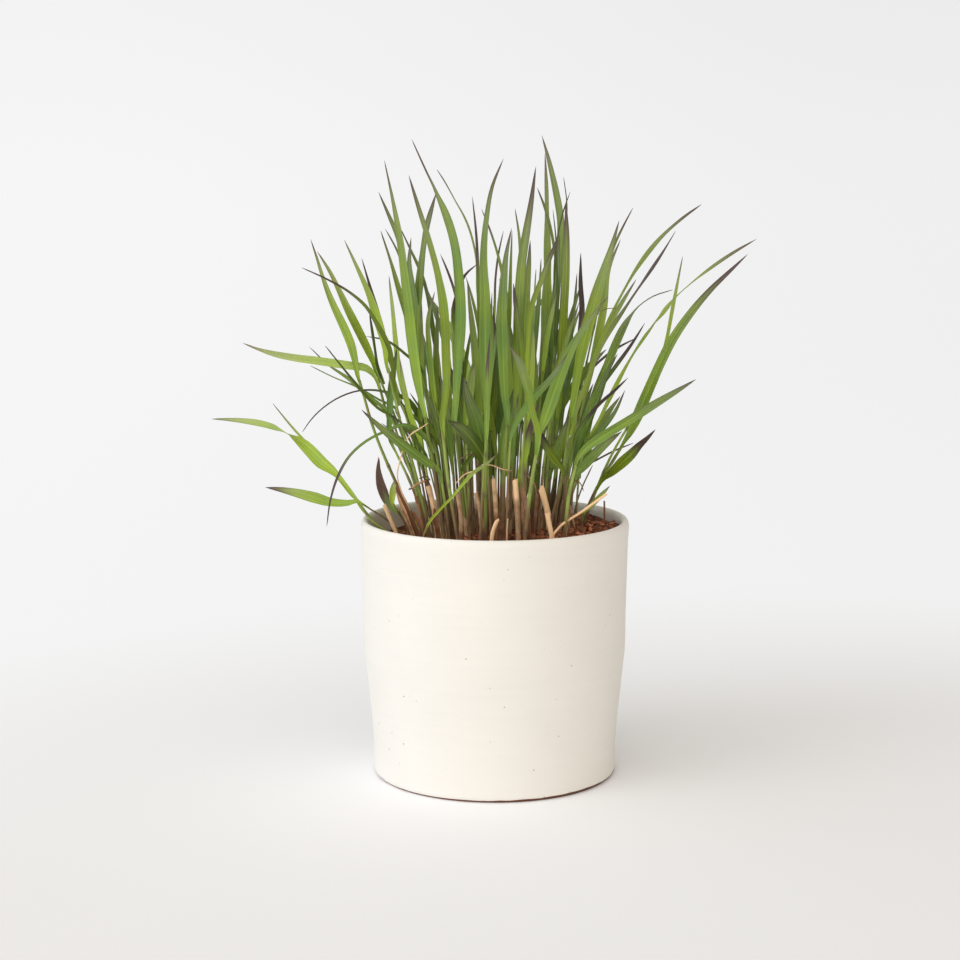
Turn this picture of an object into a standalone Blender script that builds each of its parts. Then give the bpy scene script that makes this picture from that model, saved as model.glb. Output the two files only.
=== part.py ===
"""Potted ornamental grass clump: a hand-thrown stoneware pot filled with soil, in which a
tuft of grass grows. Every culm, every leaf and every dry stub is a piece of its own.

The origin is the centre of the pot's flat base and +Z is up. Lengths in the tables are in
millimetres and are turned into Blender's metres by MM.
"""

import math
from typing import NamedTuple

import bmesh
import bpy
from mathutils import Matrix, Vector

MM = 0.001

# Pot
POT_HEIGHT = 144.0
POT_SEGMENTS = 48
FOOT_CHAMFER = 1.4
WALL_AT_RIM = 4.2
WALL_AT_FOOT = 6.2
FLOOR_THICKNESS = 8.0
FLOOR_FILLET = 12.0
FILLET_BELLY = 0.3 * FLOOR_FILLET
# Outer radius against height, from the foot to just under the lip. The thrown wall is nearly
# upright above a soft knee at 60 mm, and was trimmed inwards below it.
POT_OUTLINE = [
    (67.9, FOOT_CHAMFER),
    (68.6, 20.0),
    (69.9, 38.5),
    (72.1, 58.5),
    (73.1, 70.0),
    (73.6, 97.0),
    (74.2, 126.0),
    (74.9, 140.0),
]
LIP_STEPS = 6

# Soil
SOIL_MIDDLE = 134.0
SOIL_SLOPE = 0.068
SOIL_LUMP = 0.8
SOIL_EDGE = 6.0
SOIL_SEGMENTS = 32
SOIL_RINGS = [14.0, 28.0, 42.0, 56.0]
ROOT_DEPTH = 8.0
ROOT_RISE = 4.0
GAP = 0.35

# Grass
STALK_BEVEL_RESOLUTION = 1
STALK_SIDES = 4 + 2 * STALK_BEVEL_RESOLUTION
CULM_TAPER = 0.72
LEAF_BASE_HALF_WIDTH = 0.8
LEAF_TIP_HALF_THICKNESS = 0.45
LEAF_BASE_HALF_THICKNESS = 0.75
LEAF_WIDEST_AT = 0.36
LEAF_TIP_FULLNESS = 1.7
LEAF_FACE_UP = 35.0
SHEATH_LENGTH = 7.0
SHEATH_LEAN = 0.8
STRAIGHT_START = 3.0
RING_SPACING = 15.0
STUB_TAPER = 0.9

# The eye that the grass was drawn from. The tables give where a stalk or blade passes as
# (across, up) on the upright plane through the pot's axis. How far it really lies behind that
# plane, its depth, grows evenly along a culm and faster towards a blade's tip.
EYE = Vector((0.0, -1148.0, 338.0))
BLADE_DEPTH_BEND = 1.3


class Culm(NamedTuple):
    """A grass stem: where it stands, its thickness, the depth of its top, and its drawn path."""

    name: str
    root: tuple
    radius: float
    top_depth: float
    path: list


class Leaf(NamedTuple):
    """A blade: the culm and the share of its length it leaves from, its width, the compass
    direction its face looks in (0 is -Y, 90 is +X), its twist from base to tip, the depth of
    its tip, and its drawn path."""

    name: str
    culm: str
    share: float
    width: float
    face: float
    twist: float
    tip_depth: float
    path: list


class Stub(NamedTuple):
    """A dry stalk of last year's growth, cut off short."""

    name: str
    root: tuple
    radius: float
    top_depth: float
    top: tuple


CULMS = [
    Culm("culm_01", (-52, -18), 0.8, -20, [(-60, 135.5), (-68, 141.5), (-75, 150.5)]),
    Culm("culm_02", (-41, 12), 1.0, 24, [(-57, 168), (-66, 190), (-75, 221)]),
    Culm("culm_03", (-33, 25), 1.0, 37, [(-47, 170), (-58, 196), (-65, 222)]),
    Culm("culm_04", (-35, -6), 0.9, -13, [(-45, 172), (-53, 200), (-59, 228)]),
    Culm("culm_05", (-27, -24), 1.1, -28, [(-33, 165), (-38.5, 200)]),
    Culm("culm_06", (-25, 14), 1.0, 17, [(-36, 180), (-41, 208)]),
    Culm("culm_07", (-19, -37), 1.1, -39, [(-26, 165), (-29, 192)]),
    Culm("culm_08", (-15, -9), 1.2, -7, [(-19, 168), (-22, 194)]),
    Culm("culm_09", (-5, -33), 1.1, -38, [(-5, 165), (-4.5, 196)]),
    Culm("culm_10", (-7, 22), 1.0, 30, [(-8, 175), (-6.5, 205)]),
    Culm("culm_11", (5, -13), 1.2, -14, [(5, 165), (7, 196)]),
    Culm("culm_12", (16, -36), 1.2, -43, [(21, 168), (25, 190)]),
    Culm("culm_13", (14, 29), 1.1, 37, [(21, 175), (26, 204)]),
    Culm("culm_14", (25, 6), 1.1, 9, [(32, 175), (35, 200)]),
    Culm("culm_15", (29, -17), 1.1, -21, [(37, 165), (42, 200)]),
    Culm("culm_16", (34, 24), 1.0, 30, [(42, 180), (48, 210)]),
    Culm("culm_17", (38, 5), 1.0, 3, [(46, 170), (51, 189)]),
    Culm("culm_18", (48, 14), 1.1, 19, [(58, 163), (65, 175), (71, 185)]),
    Culm("culm_19", (38, -29), 1.1, -35, [(41, 155), (45, 174)]),
    Culm("culm_20", (-4, 44), 1.1, 62, [(-6, 170), (-8, 196)]),
]

LEAVES = [
    Leaf("leaf_01", "culm_01", 1.0, 7.2, 15, 0, -30,
         [(-82, 152.2), (-92, 152.6), (-104, 155.5), (-117, 159), (-128, 161)]),
    Leaf("leaf_02", "culm_01", 0.76, 7.4, -15, 160, 34,
         [(-86, 166), (-97, 175), (-108, 186), (-118, 192.5), (-137, 198), (-157, 199)]),
    Leaf("leaf_03", "culm_02", 1.0, 6.2, -25, 20, 37,
         [(-78, 235), (-83, 250), (-90, 267), (-96, 283), (-101, 298)]),
    Leaf("leaf_04", "culm_03", 1.0, 6.4, 30, -20, 53,
         [(-67, 232), (-73, 244), (-81, 259), (-89, 276), (-97, 292)]),
    Leaf("leaf_05", "culm_03", 0.94, 7.2, 10, 15, 0,
         [(-78, 228.5), (-95, 231), (-112, 234), (-128, 237.5), (-139, 241.5)]),
    Leaf("leaf_06", "culm_04", 1.0, 6.0, -40, 25, -24,
         [(-62, 245), (-66, 259), (-73, 275), (-82, 298)]),
    Leaf("leaf_07", "culm_04", 0.8, 6.0, 55, 0, -56,
         [(-58, 238), (-66, 255), (-76, 267), (-90, 276), (-105, 282)]),
    Leaf("leaf_08", "culm_05", 1.0, 7.2, -15, 20, -48,
         [(-42, 225), (-47, 255), (-50.5, 280), (-54, 310), (-60, 341)]),
    Leaf("leaf_09", "culm_06", 1.0, 6.2, 35, -25, 0,
         [(-45, 240), (-48, 270), (-54, 300), (-63, 323)]),
    Leaf("leaf_10", "culm_06", 0.86, 6.2, -45, 0, 56,
         [(-43, 235), (-42, 262), (-39.5, 290), (-32, 323)]),
    Leaf("leaf_11", "culm_07", 1.0, 7.4, 20, -20, -70,
         [(-27.5, 220), (-28.5, 250), (-32, 278), (-39, 306), (-47, 333)]),
    Leaf("leaf_12", "culm_08", 1.0, 7.2, -20, 25, -22,
         [(-20.5, 225), (-18.5, 255), (-20, 282), (-24, 306), (-33, 327), (-45, 352)]),
    Leaf("leaf_13", "culm_09", 1.0, 7.6, 15, -20, -72,
         [(-5, 225), (-6, 255), (-6, 285), (-3.5, 315), (4.5, 342)]),
    Leaf("leaf_14", "culm_10", 1.0, 6.4, 60, 20, 72,
         [(-6.5, 240), (-8.5, 275), (-13, 300), (-21, 319), (-31, 335)]),
    Leaf("leaf_15", "culm_11", 1.0, 8.4, -20, 20, -42,
         [(5.5, 220), (4, 250), (5, 280), (9, 305)]),
    Leaf("leaf_16", "culm_11", 0.6, 7.8, 20, -25, 14,
         [(10.5, 188), (13, 212), (13.5, 265), (17, 300), (20.5, 322), (22, 337.5)]),
    Leaf("leaf_17", "culm_12", 1.0, 8.8, -10, 15, -72,
         [(29, 205), (36, 224), (43, 240), (52, 253), (61, 268)]),
    Leaf("leaf_18", "culm_12", 0.85, 7.4, 20, 0, -112,
         [(20, 210), (15, 230), (8, 240)]),
    Leaf("leaf_19", "culm_13", 1.0, 6.8, -25, 30, 68,
         [(30, 235), (33, 265), (35.5, 295), (35, 315), (31, 335), (25.5, 354.5)]),
    Leaf("leaf_20", "culm_13", 0.86, 6.4, 50, 0, 88,
         [(27, 240), (28.5, 275), (28, 310), (27, 345)]),
    Leaf("leaf_21", "culm_14", 1.0, 6.4, -30, 20, 20,
         [(36.5, 230), (38, 260), (39, 290), (38.5, 318)]),
    Leaf("leaf_22", "culm_15", 1.0, 8.8, 10, -15, -42,
         [(45.5, 225), (50.5, 250), (57.5, 275), (68, 309)]),
    Leaf("leaf_23", "culm_15", 0.88, 6.4, 60, 0, -64,
         [(52, 225), (60, 243), (72, 262), (85, 281), (99, 303)]),
    Leaf("leaf_24", "culm_16", 1.0, 6.4, 65, 0, 56,
         [(55, 235), (63, 254), (74, 276), (88, 297), (112, 317)]),
    Leaf("leaf_25", "culm_17", 1.0, 6.6, 10, 80, 21,
         [(56, 208), (61, 225), (67, 244), (77, 261), (97, 270.5)]),
    Leaf("leaf_26", "culm_17", 0.88, 6.0, 50, 140, -44,
         [(60, 203), (68, 220), (78, 240), (90, 257), (105, 272.5), (120, 284), (143, 298.5)]),
    Leaf("leaf_27", "culm_18", 1.0, 8.8, -10, 20, 3,
         [(78, 197), (86, 217), (95, 238), (106, 256), (120, 273), (138, 290)]),
    Leaf("leaf_28", "culm_19", 1.0, 7.8, 10, 0, -60,
         [(55, 187), (70, 197), (88, 207.5), (111, 221.5)]),
    Leaf("leaf_29", "culm_18", 0.5, 9.0, 0, 10, -34,
         [(65, 169.5), (70.5, 174.8), (78, 182), (89, 193.5)]),
    Leaf("leaf_30", "culm_20", 1.0, 6.8, -20, 0, 130,
         [(-15, 225), (-24, 248), (-35, 266)]),
    Leaf("leaf_31", "culm_20", 0.86, 6.8, 20, 0, 128,
         [(6, 225), (16, 250), (29, 270)]),
    Leaf("leaf_32", "culm_06", 0.7, 3.6, 55, 0, -8,
         [(-50, 211), (-60, 214.5), (-72, 215.5), (-85, 212), (-96, 205), (-107, 192)]),
    Leaf("leaf_33", "culm_05", 0.75, 3.6, 55, 0, -47,
         [(-50, 196), (-62, 192), (-73, 186), (-82, 177), (-88, 165), (-92, 152), (-94, 139)]),
    Leaf("leaf_34", "culm_02", 0.1, 6.6, 20, 0, -17,
         [(-57, 150), (-63, 158), (-65.5, 167), (-64.5, 178)]),
]

STUBS = [
    Stub("stub_01", (-31, -14), 1.5, -18, (-37, 162)),
    Stub("stub_02", (0, 6), 1.8, 4, (-1, 166)),
    Stub("stub_03", (14, 8), 1.5, 6, (10.5, 165)),
    Stub("stub_04", (31, -6), 1.7, -10, (26, 160)),
]


def drawn(across, up, depth):
    """The real place, in mm, of a drawn point set back along the line of sight."""
    on_plane = Vector((across, 0.0, up))
    return EYE + (on_plane - EYE) * (1.0 + depth / -EYE.y)


def as_drawn(place):
    """Where the line of sight to a real place crosses the plane that the tables are drawn on."""
    seen = EYE + (place - EYE) / (1.0 + place.y / -EYE.y)
    return seen.x, seen.z


def set_back(start, points, end_depth, bend):
    """The real places of drawn points whose depth goes from the start's to the end's."""
    flat = [Vector((across, up)) for across, up in [as_drawn(start), *points]]
    shares = shares_of(flat)[1:]
    return [
        drawn(across, up, start.y + (end_depth - start.y) * share**bend)
        for (across, up), share in zip(points, shares)
    ]


def outer_radius(height):
    """The pot's outer radius at a height, on a smooth curve through POT_OUTLINE."""
    knots = [Vector((h, r, 0.0)) for r, h in POT_OUTLINE]
    height = min(max(height, knots[0].x), knots[-1].x)
    after = next(i for i in range(1, len(knots)) if height <= knots[i].x)
    a, b = knots[after - 1], knots[after]
    before, beyond = knots[max(after - 2, 0)], knots[min(after + 1, len(knots) - 1)]
    run = b.x - a.x
    slope_a = (b.y - before.y) / (b.x - before.x)
    slope_b = (beyond.y - a.y) / (beyond.x - a.x)
    t = (height - a.x) / run
    return (
        a.y * (1 + 2 * t) * (1 - t) ** 2
        + slope_a * run * t * (1 - t) ** 2
        + b.y * t * t * (3 - 2 * t)
        + slope_b * run * t * t * (t - 1)
    )


def inner_radius(height):
    """The pot's inner radius at a height: the wall thins towards the rim."""
    share = height / POT_HEIGHT
    return outer_radius(height) - WALL_AT_FOOT + (WALL_AT_FOOT - WALL_AT_RIM) * share


def soil_height(x, y):
    """The height of the soil's top, which lies lower on the left, with shallow lumps."""
    lumps = math.sin(x * 0.11 + 1.0) * math.cos(y * 0.13) + 0.6 * math.sin(x * 0.05 - y * 0.19)
    return SOIL_MIDDLE + SOIL_SLOPE * x + SOIL_LUMP * lumps


def material(name, colour, roughness):
    """A plain material of the piece's own colour."""
    made = bpy.data.materials.new(name)
    made.use_nodes = True
    shader = made.node_tree.nodes["Principled BSDF"]
    shader.inputs["Base Color"].default_value = (*colour, 1.0)
    shader.inputs["Roughness"].default_value = roughness
    shader.inputs["Metallic"].default_value = 0.0
    made.diffuse_color = (*colour, 1.0)
    return made


def add_object(name, bm, surface, smooth_below=math.radians(40)):
    """Turns a bmesh in millimetres into an object in metres, shaded smooth where it is round."""
    bmesh.ops.scale(bm, vec=(MM, MM, MM), verts=bm.verts)
    bmesh.ops.recalc_face_normals(bm, faces=bm.faces)
    mesh = bpy.data.meshes.new(name)
    bm.to_mesh(mesh)
    bm.free()
    mesh.materials.append(surface)
    mesh.shade_smooth()
    mesh.set_sharp_from_angle(angle=smooth_below)
    made = bpy.data.objects.new(name, mesh)
    bpy.context.scene.collection.objects.link(made)
    return made


def turned(profile, segments):
    """A closed solid turned about Z from a profile of (radius, height), both ends on the axis."""
    bm = bmesh.new()
    verts = [bm.verts.new((radius, 0.0, height)) for radius, height in profile]
    edges = [bm.edges.new(pair) for pair in zip(verts, verts[1:])]
    bmesh.ops.spin(
        bm,
        geom=verts + edges,
        cent=(0.0, 0.0, 0.0),
        axis=(0.0, 0.0, 1.0),
        angle=math.tau,
        steps=segments,
        use_merge=True,
    )
    bmesh.ops.remove_doubles(bm, verts=bm.verts, dist=0.001)
    return bm


def smooth_path(points, spacing):
    """Points about one spacing apart on a curve that passes through all the given points."""
    ends = [points[0] * 2 - points[1], *points, points[-1] * 2 - points[-2]]
    made = []
    for before, a, b, beyond in zip(ends, ends[1:], ends[2:], ends[3:]):
        steps = max(1, round((b - a).length / spacing))
        for step in range(steps):
            t = step / steps
            made.append(
                0.5
                * (
                    2 * a
                    + (b - before) * t
                    + (2 * before - 5 * a + 4 * b - beyond) * t * t
                    + (3 * a - before - 3 * b + beyond) * t**3
                )
            )
    return [*made, points[-1]]


def shares_of(path):
    """How far along the path each of its points lies, from 0 to 1."""
    lengths = [0.0]
    for a, b in zip(path, path[1:]):
        lengths.append(lengths[-1] + (b - a).length)
    return [length / lengths[-1] for length in lengths]


def tangent_at(path, index):
    """The direction of the path at one of its points."""
    return (path[min(index + 1, len(path) - 1)] - path[max(index - 1, 0)]).normalized()


def at_share(path, share):
    """The point and the direction at a share of the path's length."""
    shares = shares_of(path)
    index = max(i for i, s in enumerate(shares[:-1]) if s <= share)
    t = (share - shares[index]) / (shares[index + 1] - shares[index])
    return path[index].lerp(path[index + 1], t), (path[index + 1] - path[index]).normalized()


def frames(path, facing):
    """The direction, face normal and width direction at each point, carried along unturned."""
    made = []
    normal = Vector(facing)
    for index in range(len(path)):
        tangent = tangent_at(path, index)
        normal = (normal - tangent * normal.dot(tangent)).normalized()
        made.append((tangent, normal, tangent.cross(normal)))
    return made


def drawn_out(rings, tip):
    """A closed solid extruded from ring to ring, with the last one merged into the tip."""
    bm = bmesh.new()
    base = bm.faces.new([bm.verts.new(point) for point in rings[0]])
    end = base
    for ring in [*rings[1:], rings[-1]]:
        made = bmesh.ops.extrude_face_region(bm, geom=[end])
        if end is not base:
            bmesh.ops.delete(bm, geom=[end], context="FACES_ONLY")
        end = next(item for item in made["geom"] if isinstance(item, bmesh.types.BMFace))
        for vert, point in zip(end.verts, ring):
            vert.co = point
    bmesh.ops.pointmerge(bm, verts=end.verts, merge_co=tip)
    return bm


def add_stalk(name, path, radius, taper, surface):
    """A round stalk along a path, which thins to a share of its radius at the top."""
    curve = bpy.data.curves.new(name, "CURVE")
    curve.dimensions = "3D"
    curve.bevel_depth = radius * MM
    curve.bevel_resolution = STALK_BEVEL_RESOLUTION
    curve.use_fill_caps = True
    curve.materials.append(surface)
    spline = curve.splines.new("POLY")
    spline.points.add(len(path) - 1)
    spline.use_smooth = True
    for point, place, share in zip(spline.points, path, shares_of(path)):
        point.co = (*(place * MM), 1.0)
        point.radius = 1.0 - (1.0 - taper) * share
    made = bpy.data.objects.new(name, curve)
    bpy.context.scene.collection.objects.link(made)
    return made


def rooted_path(root, drawn_points, top_depth):
    """The path of a stalk: its foot in the soil, its place on the surface, then its drawn points."""
    x, y = root
    surface = Vector((x, y, soil_height(x, y)))
    above = set_back(surface, drawn_points, top_depth, 1.0)
    down = (surface - above[0]).normalized()
    foot = surface + down * (ROOT_DEPTH / abs(down.z))
    return [foot, surface - down * ROOT_RISE, *above]


def culm_path(culm):
    """The culm's path, with a straight first stretch that its socket in the soil fits."""
    foot, *above = rooted_path(culm.root, culm.path, culm.top_depth)
    return [foot, *smooth_path(above, RING_SPACING)]


def leaf_width(share, width):
    """A blade's half width at a share of its length: a narrow base, a belly and a long tip."""
    if share < LEAF_WIDEST_AT:
        grown = math.sin(0.5 * math.pi * share / LEAF_WIDEST_AT)
        return LEAF_BASE_HALF_WIDTH + (0.5 * width - LEAF_BASE_HALF_WIDTH) * grown
    beyond = (share - LEAF_WIDEST_AT) / (1.0 - LEAF_WIDEST_AT)
    return 0.5 * width * (1.0 - beyond**LEAF_TIP_FULLNESS)


def leaf_path(leaf, culms):
    """The blade's path: it leaves its culm's side with its sheath, or goes on from its top."""
    culm = next(c for c in CULMS if c.name == leaf.culm)
    stem = culms[leaf.culm]
    place, along = at_share(stem, leaf.share)
    points = set_back(place, leaf.path, leaf.tip_depth, BLADE_DEPTH_BEND)
    if leaf.share >= 1.0:
        base = place + along * GAP
        return [base, *smooth_path([base + along * STRAIGHT_START, *points], RING_SPACING)]
    outward = points[0] - place
    outward = (outward - along * outward.dot(along)).normalized()
    stem_radius = culm.radius * (1.0 - (1.0 - CULM_TAPER) * leaf.share)
    base = place + outward * (stem_radius + LEAF_BASE_HALF_WIDTH + GAP)
    hugging = base + along * SHEATH_LENGTH + outward * SHEATH_LEAN
    return smooth_path([base, hugging, *points], RING_SPACING)


def leaf_rings(leaf, path):
    """Rings of the blade's thin section: two sharp edges, and a rib above and below."""
    turn, lift = math.radians(leaf.face), math.radians(LEAF_FACE_UP)
    facing = (math.sin(turn) * math.cos(lift), -math.cos(turn) * math.cos(lift), math.sin(lift))
    thinning = LEAF_BASE_HALF_THICKNESS - LEAF_TIP_HALF_THICKNESS
    rings = []
    for point, share, (tangent, normal, _) in zip(path, shares_of(path), frames(path, facing)):
        eased = share * share * (3.0 - 2.0 * share)
        normal = Matrix.Rotation(math.radians(leaf.twist) * eased, 3, tangent) @ normal
        side = tangent.cross(normal)
        half = leaf_width(share, leaf.width)
        rib = normal * min(LEAF_BASE_HALF_THICKNESS - thinning * share, half)
        rings.append([point + side * half, point + rib, point - side * half, point - rib])
    return rings


def make_pot():
    """The pot: one turned solid with a flat base, a chamfered foot and a rounded lip."""
    lip_height = POT_OUTLINE[-1][1]
    lip_outer, lip_inner = outer_radius(lip_height), inner_radius(lip_height)
    middle, half = 0.5 * (lip_outer + lip_inner), 0.5 * (lip_outer - lip_inner)
    lip = []
    for step in range(LIP_STEPS + 1):
        angle = math.pi * step / LIP_STEPS
        rise = (POT_HEIGHT - lip_height) * math.sin(angle)
        lip.append((middle + half * math.cos(angle), lip_height + rise))
    fillet_top = FLOOR_THICKNESS + FLOOR_FILLET
    wall_heights = [height for _, height in reversed(POT_OUTLINE[:-1]) if height >= fillet_top]
    floor_radius = inner_radius(fillet_top)
    profile = [
        (0.0, 0.0),
        (outer_radius(0.0) - FOOT_CHAMFER, 0.0),
        *POT_OUTLINE[:-1],
        *lip,
        *[(inner_radius(height), height) for height in wall_heights],
        (floor_radius - FILLET_BELLY, FLOOR_THICKNESS + FILLET_BELLY),
        (floor_radius - FLOOR_FILLET, FLOOR_THICKNESS),
        (0.0, FLOOR_THICKNESS),
    ]
    glaze = material("speckled_glaze", (0.86, 0.83, 0.76), 0.45)
    add_object("pot", turned(profile, POT_SEGMENTS), glaze)


def socket_cutter(stalks, surface):
    """The sockets of all the stalks: round holes along each one's straight foot, a gap wider."""
    bm = bmesh.new()
    for path, radius in stalks:
        foot, top = path[0], path[1]
        along = (top - foot).normalized()
        depth = (top - foot).length + GAP
        wide = (radius + GAP) / math.cos(math.pi / STALK_SIDES)
        bmesh.ops.create_cone(
            bm,
            cap_ends=True,
            segments=STALK_SIDES,
            radius1=wide,
            radius2=wide,
            depth=depth,
            matrix=Matrix.Translation(top - along * 0.5 * depth)
            @ along.to_track_quat("Z", "Y").to_matrix().to_4x4(),
        )
    cutter = add_object("soil_sockets_cutter", bm, surface)
    cutter.hide_render = True
    cutter.display_type = "WIRE"
    return cutter


def make_soil(stalks):
    """The soil: it fills the pot to just under the rim, with a socket for each stalk."""
    floor = FLOOR_THICKNESS + GAP
    fillet_top = FLOOR_THICKNESS + FLOOR_FILLET
    floor_radius = inner_radius(fillet_top) - 2 * GAP
    edge = SOIL_MIDDLE - SOIL_EDGE
    wall_heights = [height for _, height in POT_OUTLINE if fillet_top <= height < edge]
    profile = [
        (0.0, floor),
        (floor_radius - FLOOR_FILLET, floor),
        (floor_radius - FILLET_BELLY, floor + FILLET_BELLY),
        *[(inner_radius(height) - 2 * GAP, height) for height in [*wall_heights, edge]],
        (inner_radius(edge) - 2 * GAP, SOIL_MIDDLE),
        *[(radius, SOIL_MIDDLE) for radius in reversed(SOIL_RINGS)],
        (0.0, SOIL_MIDDLE),
    ]
    bm = turned(profile, SOIL_SEGMENTS)
    for vert in bm.verts:
        if vert.co.z > edge:
            vert.co.z = soil_height(vert.co.x, vert.co.y)
    earth = material("earth", (0.16, 0.07, 0.04), 0.95)
    soil = add_object("soil", bm, earth)
    cut = soil.modifiers.new("sockets", "BOOLEAN")
    cut.operation = "DIFFERENCE"
    cut.solver = "EXACT"
    cut.object = socket_cutter(stalks, earth)


def make_stubs():
    """The dry stubs, and the path and radius of each for its socket."""
    straw = material("dry_straw", (0.62, 0.44, 0.26), 0.8)
    stalks = []
    for stub in STUBS:
        path = rooted_path(stub.root, [stub.top], stub.top_depth)
        add_stalk(stub.name, path, stub.radius, STUB_TAPER, straw)
        stalks.append((path, stub.radius))
    return stalks


def make_culms():
    """The culms, and each one's path by its name."""
    green_stem = material("green_stem", (0.20, 0.26, 0.07), 0.6)
    paths = {}
    for culm in CULMS:
        paths[culm.name] = culm_path(culm)
        add_stalk(culm.name, paths[culm.name], culm.radius, CULM_TAPER, green_stem)
    return paths


def make_leaves(culms):
    """The leaves, each a thin blade that ends in a point."""
    green_leaf = material("green_leaf", (0.17, 0.32, 0.06), 0.5)
    for leaf in LEAVES:
        path = leaf_path(leaf, culms)
        rings = leaf_rings(leaf, path)
        add_object(leaf.name, drawn_out(rings[:-1], path[-1]), green_leaf)


def main():
    for old in list(bpy.data.objects):
        bpy.data.objects.remove(old)
    make_pot()
    culms = make_culms()
    stalks = make_stubs()
    stalks += [(culms[culm.name], culm.radius) for culm in CULMS]
    make_soil(stalks)
    make_leaves(culms)


main()
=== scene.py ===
"""Looks of a potted ornamental grass: a speckled, hand-thrown pot of soil and bark chips, with
a clump of stems and blades, its dry stubs, sheaths and straw, and a pale studio stage.

The object's lengths are in millimetres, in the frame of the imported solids: the origin is the
centre of the pot's base and +Z is up. The stage's lengths are in metres.
"""

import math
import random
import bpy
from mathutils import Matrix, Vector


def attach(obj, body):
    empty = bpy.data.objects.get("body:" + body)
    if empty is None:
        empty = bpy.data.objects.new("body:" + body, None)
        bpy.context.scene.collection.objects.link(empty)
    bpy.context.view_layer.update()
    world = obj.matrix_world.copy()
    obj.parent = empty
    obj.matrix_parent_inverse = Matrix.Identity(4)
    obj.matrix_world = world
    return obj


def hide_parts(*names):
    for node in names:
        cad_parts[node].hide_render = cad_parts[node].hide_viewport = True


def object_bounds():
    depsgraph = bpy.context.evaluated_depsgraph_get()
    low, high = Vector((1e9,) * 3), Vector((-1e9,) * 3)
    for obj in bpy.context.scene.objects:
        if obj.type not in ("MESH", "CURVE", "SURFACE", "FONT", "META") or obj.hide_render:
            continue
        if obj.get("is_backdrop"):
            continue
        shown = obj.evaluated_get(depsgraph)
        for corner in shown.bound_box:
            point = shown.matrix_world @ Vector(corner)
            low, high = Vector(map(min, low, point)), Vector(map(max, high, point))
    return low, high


bl_info = {
    "name": "Potted Ornamental Grass",
    "version": (1, 0, 0),
    "blender": (4, 5, 0),
    "location": "View3D > Sidebar > Potted Grass",
    "description": "Dresses the solids of a potted grass clump and sets its studio stage",
    "category": "Object",
}

from typing import NamedTuple

import bmesh
import bpy
from bpy.props import FloatProperty, FloatVectorProperty, IntProperty, PointerProperty
from mathutils import Color, Euler, Matrix, Vector, noise

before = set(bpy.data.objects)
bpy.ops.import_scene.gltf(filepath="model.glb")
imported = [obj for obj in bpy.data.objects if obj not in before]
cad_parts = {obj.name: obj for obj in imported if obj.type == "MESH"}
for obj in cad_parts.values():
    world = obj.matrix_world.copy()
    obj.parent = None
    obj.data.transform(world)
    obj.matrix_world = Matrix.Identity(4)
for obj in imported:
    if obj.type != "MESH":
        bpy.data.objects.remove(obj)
CAD_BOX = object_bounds()

MM = 0.001
BODY = "root"
GOLDEN_ANGLE = math.radians(137.508)
# How near to each other points have to be to be joined.
MERGE_DISTANCE = 0.001

# Pot
POT_HEIGHT = 144.0
FOOT_CHAMFER = 1.4
BASE_RING = 34.0
WALL_AT_RIM = 4.2
WALL_AT_FOOT = 6.2
WALL_FROM_RADIUS = 50.0
FLOOR_THICKNESS = 8.0
FLOOR_FILLET = 12.0
POT_OUTLINE = [
    (67.9, FOOT_CHAMFER),
    (68.6, 20.0),
    (69.9, 38.5),
    (72.1, 58.5),
    (73.1, 70.0),
    (73.6, 97.0),
    (74.2, 126.0),
    (74.9, 140.0),
]
POT_SEGMENTS = 144
POT_RING_SPACING = 1.8
LIP_STEPS = 12
FILLET_STEPS = 8
THROWING_PITCH = 5.3
WOBBLE = 0.22
GROOVE_DEPTH = 0.1
# The grooves left by a finger, as (height, width, share of the depth).
GROOVES = [(133.0, 1.3, 1.0), (63.0, 1.8, 0.7)]

# Soil
SOIL_MIDDLE = 134.0
SOIL_SLOPE = 0.068
SOIL_LUMP = 0.8
SOIL_CRUMBLE = 0.9
SOIL_EDGE = 6.0
SOIL_SEGMENTS = 96
SOIL_RING_SPACING = 2.4
SOIL_TONE = (0.35, 0.35, 0.5)
LITTER_MARGIN = 1.5
# The least and the most length, width and thickness of a bark chip.
CHIP_SIZES = ((2.0, 6.5), (1.1, 2.9), (0.5, 1.5))
TUFTS_IN_PATCH = 34
ROOT_DEPTH = 8.0
ROOT_RISE = 4.0
SOIL_GAP = 0.35

# Stems
STEM_SIDES = 10
STEM_ROW_SPACING = 3.0
STEM_FACING = (0.0, -1.0, 0.2)
STEM_TAPER = 0.72
JOINT_LENGTH = 1.5
JOINT_SWELL = 0.22

# Blades
BLADE_THICKNESS = 0.24
BLADE_COLUMNS = 6
BLADE_ROW_SPACING = 4.0
BLADE_FACE_UP = 35.0
BLADE_FOLD = 13.0
BLADE_BASE_FOLD = 62.0
BLADE_BASE_LENGTH = 14.0
KEEL_ROUNDING = 0.1414
LEAST_SEEN_WIDTH = 0.5
MARGIN_WAVE = 0.14
WAVE_PITCH = 0.16
STRAIGHT_START = 3.0
SHEATH_LENGTH = 7.0
SHEATH_LEAN = 0.8
# How wide a blade's base is for its stem's radius: it is folded round the stem.
HUG = 2.7

# Inner shoots
INNER_COLUMNS = 4
INNER_ROW_SPACING = 6.0
# The middle and the half-widths of the patch of soil that they stand on.
INNER_MIDDLE = (3, 17)
INNER_REACH = (41, 29)
# How wide a blade is, as (share of its length, share of its width).
INNER_WIDTHS = ((0.0, 0.5), (0.25, 0.9), (0.5, 1.0), (0.78, 0.62), (1.0, 0.06))

# Dry parts
# How wide the hollow of a dry stalk is for its radius.
BORE = 0.62
TWIG_SIDES = 6
TWIG_SPACING = 1.5
PAPER_ROWS = 8
PAPER_COLUMNS = 8
PAPER_THICKNESS = 0.18
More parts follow.
